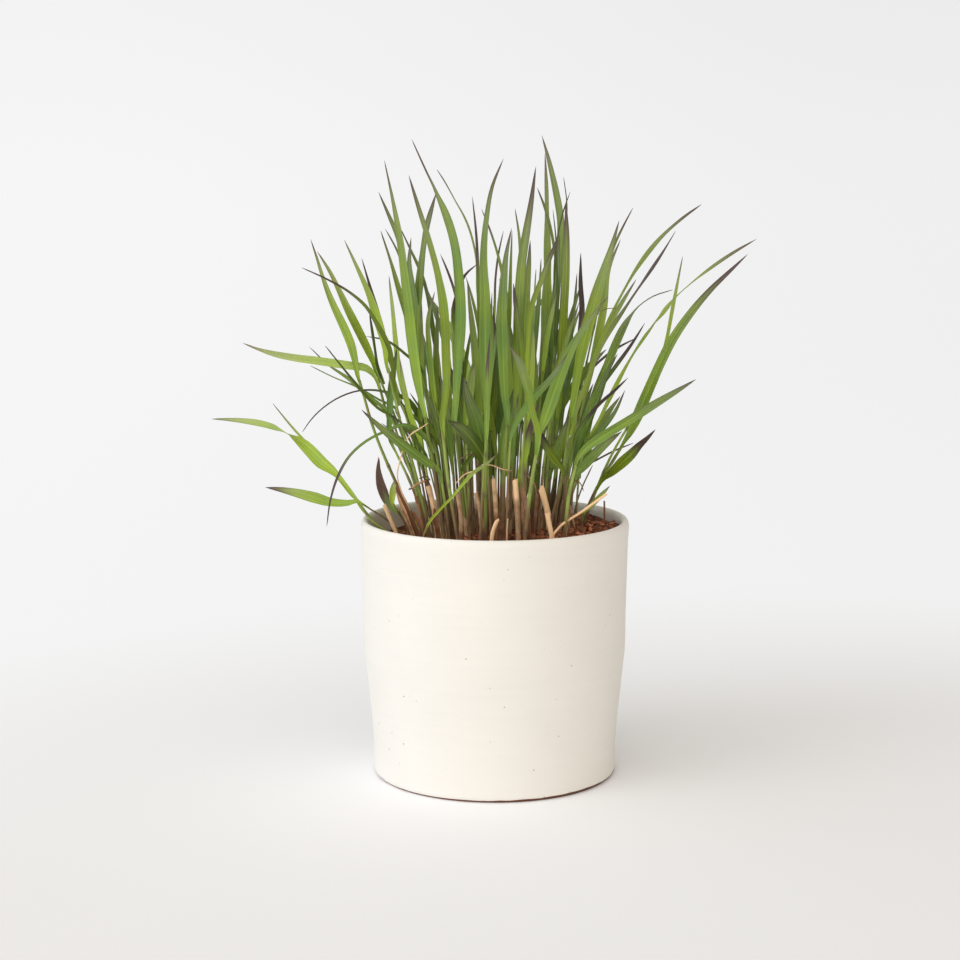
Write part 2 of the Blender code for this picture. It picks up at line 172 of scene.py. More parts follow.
# The share of the stems that have no sheath round their foot.
BARE_FEET = 0.68

# The eye that the grass was drawn from. The tables give where a stalk or blade passes as
# (across, up) on the upright plane through the pot's axis. How far it really lies behind that
# plane, its depth, grows evenly along a stem and faster towards a blade's tip.
EYE = Vector((0.0, -1148.0, 338.0))
BLADE_DEPTH_BEND = 1.3

# Stage, in metres
FLOOR_RADIUS = 2.4
SWEEP_RADIUS = 0.9
WALL_TOP = 2.6
SWEEP_STEPS = 12
STAGE_SEGMENTS = 96
KEY_PLACE = (-1.75, -1.05, 1.45)
KEY_SIZE = 1.2
# The direction that the light from all around is brightest in.
BRIGHT_SIDE = (-0.55, -0.83, 0.0)
SENSOR_WIDTH = 36.0
CAMERA_TILT = 90.0 - 8.56
CAMERA_TURN = 0.412


class Stem(NamedTuple):
    """A grass stem: where it stands, its thickness, the depth of its top, the height from which
    it is green, and its drawn path."""

    root: tuple
    radius: float
    top_depth: float
    green_from: float
    path: list


class Blade(NamedTuple):
    """A blade: the number of its stem and the share of the stem's length it leaves from, the
    compass direction its face looks in, its twist from base to tip, the depth of its tip, its
    tone, and its drawn path as (across, up, width). The tone is its lightness, its warmth and
    where its purple starts."""

    stem: int
    share: float
    face: float
    twist: float
    tip_depth: float
    tone: tuple
    path: list


class Shoot(NamedTuple):
    """A thin shoot between the main stems: the group it is in, where it stands, the depths of
    its blade's base and tip, then as for a blade. Its stem rises to the path's first point."""

    group: str
    root: tuple
    base_depth: float
    tip_depth: float
    face: float
    twist: float
    tone: tuple
    path: list


class Stalk(NamedTuple):
    """A dry stalk or stub: where it stands, its radius, the depth of its top, how far its top is
    split, its tone (lightness, redness, share of its length from which it is pale), and its
    drawn path."""

    root: tuple
    radius: float
    top_depth: float
    split: float
    tone: tuple
    path: list


STEMS = [
    Stem((-52, -18), 0.8, -20, 130, [(-60, 135.5), (-68, 141.5), (-75, 150.5)]),
    Stem((-41, 12), 1.0, 24, 168, [(-57, 168), (-66, 190), (-75, 221)]),
    Stem((-33, 25), 1.0, 37, 168, [(-47, 170), (-58, 196), (-65, 222)]),
    Stem((-35, -6), 0.9, -13, 150, [(-45, 172), (-53, 200), (-59, 228)]),
    Stem((-27, -24), 1.1, -28, 176, [(-33, 165), (-38.5, 200)]),
    Stem((-25, 14), 1.0, 17, 170, [(-36, 180), (-41, 208)]),
    Stem((-19, -37), 1.1, -39, 160, [(-26, 165), (-29, 192)]),
    Stem((-15, -9), 1.2, -7, 138, [(-19, 168), (-22, 194)]),
    Stem((-5, -33), 1.1, -38, 148, [(-5, 165), (-4.5, 196)]),
    Stem((-7, 22), 1.0, 30, 170, [(-8, 175), (-6.5, 205)]),
    Stem((5, -13), 1.2, -14, 168, [(5, 165), (7, 196)]),
    Stem((16, -36), 1.2, -43, 158, [(21, 168), (25, 190)]),
    Stem((14, 29), 1.1, 37, 168, [(21, 175), (26, 204)]),
    Stem((25, 6), 1.1, 9, 170, [(32, 175), (35, 200)]),
    Stem((29, -17), 1.1, -21, 165, [(37, 165), (42, 200)]),
    Stem((34, 24), 1.0, 30, 174, [(42, 180), (48, 210)]),
    Stem((38, 5), 1.0, 3, 136, [(46, 170), (51, 189)]),
    Stem((48, 14), 1.1, 19, 158, [(58, 163), (65, 175), (71, 185)]),
    Stem((38, -29), 1.1, -35, 150, [(41, 155), (45, 174)]),
    Stem((-4, 44), 1.1, 62, 168, [(-6, 170), (-8, 196)]),
]

BLADES = [
    Blade(1, 1.0, 15, 0, -30, (0.6, 0.7, 0.84),
          [(-82, 152.2, 3.4), (-92, 152.6, 4.8), (-100, 154.9, 6), (-110, 157.6, 5),
           (-119, 159.6, 3), (-128, 161, 0.3)]),
    Blade(1, 0.76, -15, 160, 34, (0.62, 0.8, 0.95),
          [(-80, 158.5, 1.4), (-86, 166, 2.4), (-91, 170.8, 5), (-96, 174.3, 7), (-101, 179.5, 7),
           (-106, 184.5, 5.5), (-111, 188.5, 3), (-117.5, 192.3, 1.2), (-124, 195, 2.8),
           (-132, 197.2, 3.6), (-140, 198.4, 2.8), (-149, 199, 1.6), (-157, 199.2, 0.3)]),
    Blade(2, 1.0, -25, 20, 37, (0.55, 0.7, 0.9),
          [(-77, 231, 3.2), (-78.8, 239, 4.5), (-84, 252, 4.6), (-88, 260.5, 3.8),
           (-91.5, 269, 3), (-95, 279, 2), (-98, 289, 1.2), (-101, 298.5, 0.3)]),
    Blade(3, 1.0, 30, -20, 53, (0.65, 0.85, 0.95),
          [(-67, 230, 2.6), (-69.5, 236, 3.8), (-75, 247.5, 5), (-82, 262, 3.8), (-86, 271, 2.8),
           (-90.5, 280.5, 2), (-97.5, 292, 0.3)]),
    Blade(3, 0.94, 10, 15, 0, (1.7, 0.9, 0.92),
          [(-71, 227.6, 4), (-80, 229, 4.6), (-90, 230.5, 4.6), (-100, 232, 4.4),
           (-111, 233.4, 4), (-121, 235.2, 3.2), (-131, 238.2, 1.4), (-139, 241.5, 0.3)]),
    Blade(4, 1.0, -40, 25, -24, (0.6, 0.9, 0.95),
          [(-60.3, 238, 3.4), (-62.8, 249, 4.6), (-65.5, 258, 4.2), (-68.5, 267, 3.5),
           (-75, 281.5, 2.1), (-82.5, 298, 0.3)]),
    Blade(4, 0.8, 55, 0, -56, (0.1, 0.6, 0.7),
          [(-59, 240, 2.2), (-65.5, 252.5, 2.6), (-71, 261.5, 1.9), (-80, 269.5, 1.2),
           (-91, 276, 0.9), (-106, 283, 0.3)]),
    Blade(5, 1.0, -15, 20, -48, (0.6, 0.5, 0.9),
          [(-40.5, 209, 3.2), (-43, 223, 5), (-46, 245, 6), (-47.5, 260, 5.6), (-49.8, 280, 4.6),
           (-52.8, 303, 3.4), (-56, 320, 1.7), (-60.2, 341, 0.3)]),
    Blade(6, 1.0, 35, -25, 0, (0.35, 0.4, 0.93),
          [(-43, 225, 3.4), (-45.5, 245, 4.4), (-48.5, 270, 4), (-53, 299, 2.8),
           (-57.5, 310, 2), (-63.5, 324, 0.3)]),
    Blade(6, 0.86, -45, 0, 56, (0.0, 0.65, 0.9),
          [(-41.5, 222, 3.6), (-42.7, 240, 4.4), (-42, 265, 4.2), (-40, 287, 3.5),
           (-37, 306, 2.8), (-34.5, 315.5, 1.8), (-32.3, 323.5, 0.3)]),
    Blade(7, 1.0, 20, -20, -70, (0.38, 0.65, 0.9),
          [(-27.3, 213, 3.6), (-27.2, 238, 5), (-28.3, 260, 5), (-31.5, 280, 3.7),
           (-36, 297, 3.1), (-41, 313, 2.4), (-44.3, 324, 1.5), (-47, 333, 0.3)]),
    Blade(8, 1.0, -20, 25, -22, (0.62, 0.28, 0.86),
          [(-21.6, 210, 3.8), (-20.3, 232, 5.4), (-18.8, 255, 6), (-19.8, 278, 5.2),
           (-22.7, 298, 4.7), (-27.5, 313.5, 4), (-31.3, 322, 2.2),
           (-33.3, 326.5, 1.4), (-37, 334, 1), (-41.3, 343.5, 0.8), (-45.3, 352.5, 0.3)]),
    Blade(9, 1.0, 15, -20, -72, (0.36, 0.4, 0.9),
          [(-4.6, 207, 3.6), (-4.7, 219, 6), (-5.2, 240, 7.8), (-5.6, 265, 5.8), (-6.3, 288, 4.2),
           (-5, 308, 2.9), (-1.5, 327, 1.8), (4.5, 342, 0.3)]),
    Blade(10, 1.0, 60, 20, 72, (0.5, 0.7, 0.92),
          [(-6.7, 228, 3), (-7.6, 250, 3.6), (-8.7, 270, 3.2), (-10.8, 290, 2.2),
           (-15, 306, 1.4), (-22.3, 320, 2.6), (-27, 328.5, 2), (-31.5, 336, 0.3)]),
    Blade(11, 1.0, -20, 20, -42, (0.45, 0.3, 0.95),
          [(5.7, 212, 4.2), (4.6, 235, 6), (4, 260, 5.6), (4.8, 277, 4.2), (6.3, 291, 2.3),
           (9, 304.5, 0.3)]),
    Blade(11, 0.6, 20, -25, 14, (0.3, 0.6, 0.84),
          [(10.5, 190, 3), (12.6, 212, 5), (12.8, 240, 6), (13.2, 262, 6), (14.6, 285, 5),
           (17.2, 303, 4.3), (20, 321, 2.5), (22.2, 338, 0.3)]),
    Blade(12, 1.0, -10, 15, -72, (0.4, 0.35, 0.95),
          [(27, 197, 4.8), (30.5, 207, 7), (35.5, 222, 6.8), (41, 236, 5.4), (46.5, 246.5, 3.4),
           (54, 257, 1.8), (62, 267, 0.3)]),
    Blade(12, 0.85, 20, 0, -112, (0.5, 0.5, 0.95),
          [(20.5, 205, 3.6), (17.6, 219, 5), (13.5, 231, 4), (8, 240, 0.3)]),
    Blade(13, 1.0, -25, 30, 68, (0.28, 0.45, 0.95),
          [(28, 222, 3.4), (31, 245, 5), (33.7, 270, 4.6), (35.5, 292, 4), (35.7, 309, 3.9),
           (34.2, 319, 3.8), (30, 338, 2.5), (25.4, 354.5, 0.3)]),
    Blade(13, 0.86, 50, 0, 88, (0.7, 0.7, 0.95),
          [(26, 222, 4), (27, 241, 5.4), (28, 262, 5.4), (28.4, 282, 4.6), (28.3, 302, 3),
           (28, 322, 2.2), (27.2, 345, 0.3)]),
    Blade(14, 1.0, -30, 20, 20, (0.15, 1.3, 0.85),
          [(36, 218, 3.4), (37.2, 240, 4.6), (38.2, 262, 4.5), (39, 282, 4), (39, 303, 3),
           (38.6, 319, 0.3)]),
    Blade(15, 1.0, 10, -15, -42, (0.58, 0.65, 0.93),
          [(44.2, 215, 4), (47, 233, 5.6), (50.7, 250, 6.6), (55.8, 268, 6.6), (60.5, 284, 4.4),
           (64, 295, 2.6), (67.8, 308.5, 0.3)]),
    Blade(15, 0.88, 60, 0, -64, (0.1, 0.9, 0.6),
          [(48.5, 215, 2.2), (55.5, 233, 2.6), (63, 248.5, 2.8), (72.5, 263, 2.4), (82, 277, 2.1),
           (91, 290.5, 1.6), (98.7, 302.7, 0.3)]),
    Blade(16, 1.0, 65, 0, 56, (0.65, 0.8, 0.88),
          [(51.8, 226, 1.6), (59.8, 248.5, 1.1), (68.5, 266.5, 1.2), (78, 283.5, 1.9),
           (90, 299, 2.1), (102, 309.8, 1.4), (112.5, 317.3, 0.3)]),
    Blade(17, 1.0, 10, 80, 21, (0.25, 0.42, 0.93),
          [(52.5, 199, 3.4), (56, 210, 5), (61, 226, 4.7), (66.5, 241.5, 4.2), (72.5, 254, 3.2),
           (79, 262, 1.2), (87, 267.4, 0.6), (97.5, 270.8, 0.3)]),
    Blade(17, 0.88, 50, 140, -44, (0.5, 0.85, 0.9),
          [(58, 199.5, 1.8), (65, 214.5, 2.2), (70, 224.5, 2), (76.5, 236, 1.15), (83.5, 247, 1.9),
           (90.5, 256.6, 2.5), (95, 262, 1.8), (99, 266.6, 0.7), (108, 274.8, 0.6),
           (117, 282, 1.6), (130, 291, 1.6), (143, 298.6, 0.3)]),
    Blade(18, 1.0, -10, 20, 3, (0.3, 0.5, 0.78),
          [(74.3, 190.5, 3.4), (77.8, 198, 5.2), (84, 213, 6.1), (91, 229.5, 5.2),
           (99, 245.5, 5), (109, 260, 4.1), (119, 271.7, 3), (129, 281.5, 1.9),
           (138.3, 290.3, 0.3)]),
    Blade(19, 1.0, 10, 0, -60, (0.12, 0.35, 0.95),
          [(51, 183.5, 4.2), (58, 188.6, 5), (66.5, 194, 5.2), (77, 200.5, 5.1), (88, 207.6, 4.3),
           (99.5, 214.5, 3), (111, 221.4, 0.3)]),
    Blade(18, 0.5, 0, 10, -34, (0.05, 0.8, 0.62),
          [(65, 169.5, 4.2), (70.5, 174.8, 6), (76, 180, 5.6), (80.5, 185, 3.8), (84.5, 188.7, 2.4),
           (89, 193.5, 0.3)]),
    Blade(20, 1.0, -20, 0, 130, (0.45, 0.5, 0.93),
          [(-11, 212, 4.2), (-16, 228, 5.6), (-24, 248, 4.6), (-35, 266, 0.3)]),
    Blade(20, 0.86, 20, 0, 128, (0.45, 0.5, 0.93),
          [(1, 212, 4.2), (8, 229, 5.6), (17, 251, 4.6), (29, 270, 0.3)]),
    Blade(6, 0.7, 55, 0, -8, (-0.2, 0.3, 0.5),
          [(-50, 211, 2.5), (-58, 213.8, 1.7), (-66, 215.4, 1.1), (-75, 215.2, 0.8),
           (-85, 212, 0.7), (-95, 205.8, 0.6), (-102, 199, 0.5), (-107, 192, 0.2)]),
    Blade(5, 0.75, 55, 0, -47, (-0.05, 0.3, 0.6),
          [(-50, 196, 2), (-61, 192.4, 1.6), (-71.5, 187, 1.4), (-80.5, 179, 1.3),
           (-87.5, 167, 1.3), (-91.7, 154, 0.9), (-94, 139, 0.3)]),
    # This blade's high lightness makes up for the shade it lies in: painted light.
    Blade(2, 0.1, 20, 0, -17, (2.3, 0.1, 0.5),
          [(-58.5, 150, 2.8), (-62, 157, 4.8), (-64.7, 165, 4.7), (-65.3, 171, 3),
           (-64.5, 178, 0.3)]),
]

FRESH = (0.8, 0.85, 0.95)
MID = (0.55, 0.6, 0.93)
COOL = (0.4, 0.1, 0.95)
DEEP = (0.05, 0.4, 0.9)
INKY = (-0.4, 0.4, 0.9)
BRONZE = (0.4, 0.85, 0.6)
PURPLE = (0.3, 0.5, 0.3)

SHOOTS = [
    Shoot("left", (-50, 6), 6, 20, 20, 0, FRESH,
          [(-74, 151.5, 1.1), (-88, 167, 1.4), (-100, 181, 1.2), (-111, 193, 1.2),
           (-123, 208, 0.2)]),
    Shoot("left", (-38, 20), 26, 40, -30, 20, DEEP,
          [(-58, 201, 2), (-70, 212, 2.2), (-80, 221, 2), (-92, 229.5, 1),
           (-102.5, 239.5, 0.3)]),
    Shoot("left", (-37, -12), -14, -30, 60, 0, INKY,
          [(-57, 199, 1.5), (-65, 205.5, 1.6), (-75, 216.5, 1.4), (-85, 229, 0.9),
           (-93.5, 240, 0.3)]),
    Shoot("left", (-31, 32), 36, 60, 50, 0, COOL,
          [(-55, 204, 1.2), (-64, 210, 1), (-76, 217, 0.8), (-89, 222.5, 0.6), (-102, 229, 0.2)]),
    Shoot("left", (-25, -22), -26, -42, 0, 10, (-0.12, 0.4, 0.9),
          [(-30, 168, 3), (-39, 176, 5), (-50, 184, 5.5), (-62, 193.5, 3.6), (-74, 204.5, 0.3)]),
    Shoot("left", (-36, 18), 25, 38, 40, 0, (0.2, 0.5, 0.5),
          [(-58, 230, 1.6), (-64, 256, 2), (-68, 270, 1.6), (-73, 288, 0.3)]),
    Shoot("left", (-34, 8), 9, 12, -40, 0, FRESH,
          [(-51, 214, 2.2), (-54.5, 240, 2.7), (-56.5, 262, 1.8), (-58.3, 278.5, 0.3)]),
    Shoot("left", (-29, 22), 26, 34, 30, 20, MID,
          [(-42, 222, 2.6), (-47, 250, 3.6), (-53, 271, 2.6), (-57.5, 287, 1.6),
           (-62.5, 303, 0.3)]),
    Shoot("left", (-30, 34), 44, 70, 30, 0, DEEP,
          [(-43, 240, 1.4), (-48, 275, 1.4), (-54, 293, 1), (-60, 304, 0.3)]),
    Shoot("left", (-37, 12), 14, 18, 60, 0, INKY,
          [(-64, 223, 1.2), (-66.3, 238, 1.4), (-68, 250, 1.1), (-69, 258, 0.3)]),
    Shoot("left", (-26, 4), 6, 0, 30, 0, INKY,
          [(-40, 225, 1.4), (-49.5, 235.5, 1.5), (-60, 243, 1.1), (-71, 245.2, 0.3)]),
    Shoot("left", (-37, 3), 1, -6, -10, 20, COOL,
          [(-57.5, 186, 2.2), (-58.5, 200, 3.2), (-56.5, 224, 3.5), (-54, 239, 0.3)]),
    Shoot("left", (-41, -34), -35, -60, 15, 30, FRESH,
          [(-37.5, 139.5, 1.1), (-30.7, 148.2, 1.3), (-24, 155.4, 1.4), (-18.4, 162.2, 1.6),
           (-11.2, 170, 2), (-4.5, 174.4, 1.6), (1.1, 179.5, 0.3)]),
    Shoot("left", (-46, -4), -8, -10, -20, 0, (1.25, 1.3, 0.97),
          [(-56.6, 151.5, 2), (-57.2, 155.5, 3.7), (-56.8, 160, 3.6), (-56.2, 164.5, 0.3)]),
    Shoot("left", (-28, -10), -12, -16, 30, 0, INKY,
          [(-38, 178, 1.4), (-44, 187, 1.8), (-50, 195, 1.5), (-58, 202.5, 0.3)]),
    Shoot("left", (-26, 0), 2, 6, 20, 0, INKY,
          [(-34, 188, 1.4), (-41, 197, 1.8), (-47, 203, 1.5), (-54, 211, 0.3)]),
    Shoot("left", (-22, -4), -4, -2, 40, 0, (-0.2, 0.5, 0.9),
          [(-29, 180, 1.4), (-34, 192, 2.2), (-40, 203, 1.6), (-47, 214, 0.3)]),
    Shoot("left", (-30, 8), 10, 16, -30, 0, INKY,
          [(-41, 176, 1.3), (-47, 184, 1.5), (-54, 190, 1.2), (-63, 197, 0.3)]),
    Shoot("middle", (-14, -12), -14, -20, 0, 0, INKY,
          [(-18, 170, 1.6), (-13, 178, 2.4), (-9, 183, 1.6), (-4, 188.5, 0.3)]),
    Shoot("right", (26, -2), -2, -6, 10, 0, DEEP,
          [(30, 166, 2.6), (33, 178, 4.4), (37, 190, 3.6), (42, 203, 0.3)]),
    Shoot("right", (33, -4), -6, -12, -10, 0, DEEP,
          [(38, 168, 2.6), (41, 180, 4.2), (44, 192, 3), (46, 205, 0.3)]),
    Shoot("middle", (22, 4), 4, 0, 0, 0, (-0.2, 0.4, 0.9),
          [(24, 164, 2.6), (20, 178, 4.6), (17, 190, 3), (14, 203, 0.3)]),
    Shoot("left", (-33, -2), -3, -8, -20, 0, FRESH,
          [(-41, 186, 2), (-46, 199, 3), (-50, 215, 2.8), (-52.5, 233, 0.3)]),
    Shoot("middle", (-27, 26), 30, 38, -20, 10, COOL,
          [(-38, 215, 3), (-42, 250, 4.2), (-44.8, 268, 4), (-47, 285, 2.5), (-46, 299.5, 0.3)]),
    Shoot("middle", (-24, 33), 40, 62, 40, 0, DEEP,
          [(-33, 238, 1.6), (-41, 281, 1.6), (-45.5, 291, 1.2), (-52, 305, 0.3)]),
    Shoot("middle", (-10, 6), 8, 10, 30, 0, (0.3, 0.5, 0.6),
          [(-8.5, 235, 1.8), (-9.2, 270, 1.8), (-10.2, 300, 1.3), (-12.4, 321.5, 0.3)]),
    Shoot("middle", (4, 14), 17, 26, -30, 0, (0.1, 0.6, 0.8),
          [(7.5, 240, 2.2), (5.5, 272, 2), (1.5, 290, 1.3), (-3, 304, 0.9), (-7.5, 315, 0.3)]),
    Shoot("middle", (-24, -6), -8, -12, 20, 0, MID,
          [(-33, 208, 2.2), (-36.3, 238, 3), (-36.8, 255, 2.2), (-33, 270, 0.3)]),
    Shoot("middle", (-20, 24), 28, 40, 50, 0, COOL,
          [(-26, 220, 2), (-29.5, 247, 2.4), (-33.5, 260, 2), (-39, 275, 0.3)]),
    Shoot("middle", (-16, 30), 36, 50, 30, 0, BRONZE,
          [(-18, 240, 1.4), (-22.5, 271, 1.5), (-26, 281, 1.1), (-30, 290.5, 0.3)]),
    Shoot("middle", (-18, 2), 3, 6, 60, 0, PURPLE,
          [(-24, 252, 1.2), (-20.5, 270, 1.4), (-16.5, 279, 1.2), (-9.5, 285, 0.3)]),
    Shoot("middle", (-6, 36), 44, 62, 30, 0, MID,
          [(-6, 222, 2), (-9.5, 253, 2), (-12.5, 266, 1.4), (-16, 278, 0.3)]),
    Shoot("middle", (-8, -42), -50, -78, 0, 0, (0.35, 0.4, 0.66),
          [(-4.8, 188, 1.6), (-4.6, 210, 2.6), (-4.2, 228, 1.9), (-2.5, 247, 0.3)]),
    Shoot("middle", (-2, -22), -26, -40, -10, 20, (-0.15, 0.3, 0.95),
          [(-4, 172, 3.4), (-7, 186, 7), (-11, 200, 8), (-15, 212, 5), (-17.5, 223, 0.3)]),
    Shoot("middle", (-1, -16), -22, -52, 10, 10, (-0.4, 0.3, 0.95),
          [(-2, 166, 3), (-6, 177, 6), (-13, 188, 8), (-19, 194.5, 6), (-26, 198.5, 0.3)]),
    Shoot("middle", (9, 20), 24, 30, 30, 0, MID,
          [(14.5, 250, 2.2), (14.3, 280, 1.9), (13.3, 299, 1.4), (11, 315, 0.3)]),
    Shoot("middle", (-2, 28), 33, 44, -30, 0, (0.1, 0.8, 0.5),
          [(-2, 232, 2), (-0.2, 262, 1.3), (0.2, 277, 1.1), (1.8, 290, 0.9), (4.5, 303, 0.3)]),
    Shoot("middle", (5, 8), 9, 12, 30, 0, MID,
          [(7.6, 238, 2.2), (8, 262, 2.2), (8.6, 284, 1.5), (9.3, 303, 0.3)]),
    Shoot("middle", (11, 4), 4, 8, -20, 15, MID,
          [(15, 212, 4), (16, 245, 5), (17.4, 272, 4.2), (18.5, 285, 2.6), (19.3, 298, 0.3)]),
    Shoot("right", (22, 34), 40, 60, 40, 0, DEEP,
          [(34, 262, 1.5), (32, 296, 1.6), (28, 313, 1.4), (23, 326.5, 0.3)]),
    Shoot("middle", (13, -26), -34, -60, -20, 10, (0.08, 1.0, 0.84),
          [(17.5, 212, 2.2), (18.5, 243, 2.8), (20, 261, 2.8), (25, 275, 3), (30.3, 289, 2.4),
           (35, 301, 0.3)]),
    Shoot("middle", (17, 12), 14, 18, 20, 0, COOL,
          [(21.5, 228, 2.4), (23, 252, 2.6), (24.5, 272, 1.6), (25.3, 288, 0.3)]),
    Shoot("right", (20, -4), -5, -8, 0, 0, MID,
          [(26.5, 226, 2.4), (29, 246, 2.8), (31.5, 259, 2.2), (34, 270, 0.3)]),
    Shoot("right", (21, 16), 19, 26, -30, 0, COOL,
          [(30.5, 208, 2.6), (32.3, 242, 3.4), (33.8, 270, 2.6), (35.3, 300.5, 0.3)]),
    Shoot("right", (30, 16), 19, 24, 20, 20, (-0.3, 1.3, 0.5),
          [(43.5, 214, 2.4), (46.6, 243, 3.2), (47.8, 259, 3.2), (46.9, 274, 2.2),
           (47, 291, 0.3)]),
    Shoot("right", (29, 30), 35, 48, 40, 0, DEEP,
          [(39.5, 222, 1.8), (42.6, 252, 1.9), (44, 266, 1.3), (45, 280, 0.3)]),
    Shoot("middle", (16, -10), -12, -16, 0, 20, FRESH,
          [(18.5, 198, 2.6), (20, 218, 3.2), (21, 236, 2.2), (21.2, 253, 0.3)]),
    Shoot("right", (24, -8), -10, -14, 30, 0, MID,
          [(33, 218, 2), (38.5, 240, 2.3), (41.7, 250.5, 1.6), (45.5, 260, 0.3)]),
    Shoot("middle", (6, -34), -42, -74, 0, 20, COOL,
          [(8.5, 187, 3), (14, 201, 3.8), (22, 212, 4.1), (30.5, 221.5, 3.5), (40, 235.5, 0.3)]),
    Shoot("right", (40, -22), -28, -50, -10, 0, (-0.3, 0.7, 0.55),
          [(38.5, 168, 3), (31.5, 179.5, 5), (25.5, 190.5, 3.2), (19, 205, 0.3)]),
    Shoot("middle", (12, -24), -27, -34, 10, 0, BRONZE,
          [(13, 164, 2.6), (16.5, 179, 4), (20, 196, 3), (24, 209, 0.3)]),
    Shoot("right", (36, 12), 15, 24, 30, 0, MID,
          [(49, 208, 2.6), (55.5, 239, 4), (59.8, 262, 3.8), (62.5, 283, 2.2), (68.7, 298.5, 0.3)]),
    Shoot("right", (38, 26), 32, 48, 40, 0, (0.2, 0.5, 0.75),
          [(57, 262, 1.8), (66, 297, 1.3), (70, 305.5, 0.9), (75.3, 315.5, 0.3)]),
    Shoot("right", (30, 20), 26, 30, 40, 0, INKY,
          [(36, 250, 1), (38.4, 300, 0.8), (39.2, 318, 0.5), (37.4, 332, 0.2)]),
    Shoot("right", (28, 24), 28, 34, 40, 0, INKY,
          [(33, 250, 1), (34.6, 302, 0.8), (37.4, 314, 0.6), (41, 324.2, 0.2)]),
    Shoot("right", (27, 12), 14, 16, 40, 0, INKY,
          [(33, 240, 1), (34, 285, 0.8), (33.2, 300, 0.6), (31.6, 314.6, 0.2)]),
    Shoot("right", (36, -8), -10, -20, 20, 20, MID,
          [(51, 219, 2.4), (61, 248, 2.6), (70, 264.5, 2), (77.5, 276.5, 0.3)]),
    Shoot("right", (50, 18), 22, 28, 50, 0, FRESH,
          [(86, 215, 1.6), (93.8, 240, 1.9), (98.3, 265, 1.8), (102.8, 289, 0.3)]),
    Shoot("right", (40, 10), 11, 8, 20, 0, (-0.15, 0.2, 0.62),
          [(50, 202, 1.8), (57, 215, 2.2), (66, 228, 2.1), (75, 240.5, 1.6), (82.5, 252.5, 0.3)]),
    Shoot("right", (34, 32), 38, 44, 50, 0, (0.05, 0.3, 0.1),
          [(46, 217, 1.2), (55.5, 229.5, 1.4), (66, 238, 1.2), (78, 244.5, 0.3)]),
    Shoot("right", (37, -18), -22, -34, 10, 0, (-0.4, 0.3, 0.4),
          [(44, 187, 1.4), (50.5, 199, 2), (58, 208, 1.8), (66.5, 215.5, 1.5),
           (73.5, 222.3, 0.3)]),
    Shoot("right", (42, 2), 2, -2, 10, 0, (0.0, 0.0, 0.9),
          [(44.5, 174, 2), (51, 184.5, 2.6), (59, 193.5, 2.9), (66.5, 203.5, 2),
           (72, 215.5, 0.3)]),
    Shoot("right", (40, -14), -18, -26, 5, 0, DEEP,
          [(42, 163, 3), (50, 174, 5), (59.5, 184, 5), (70.5, 192.5, 0.3)]),
    Shoot("right", (46, 20), 24, 28, 50, 0, PURPLE,
          [(47, 171, 0.9), (55.5, 176, 1), (66, 181.5, 0.9), (77, 186, 0.3)]),
    Shoot("right", (47, -6), -8, -14, 0, 0, MID,
          [(50, 146.5, 1.8), (54.5, 151.5, 2.8), (59, 156.5, 2.6), (64, 162, 0.3)]),
]

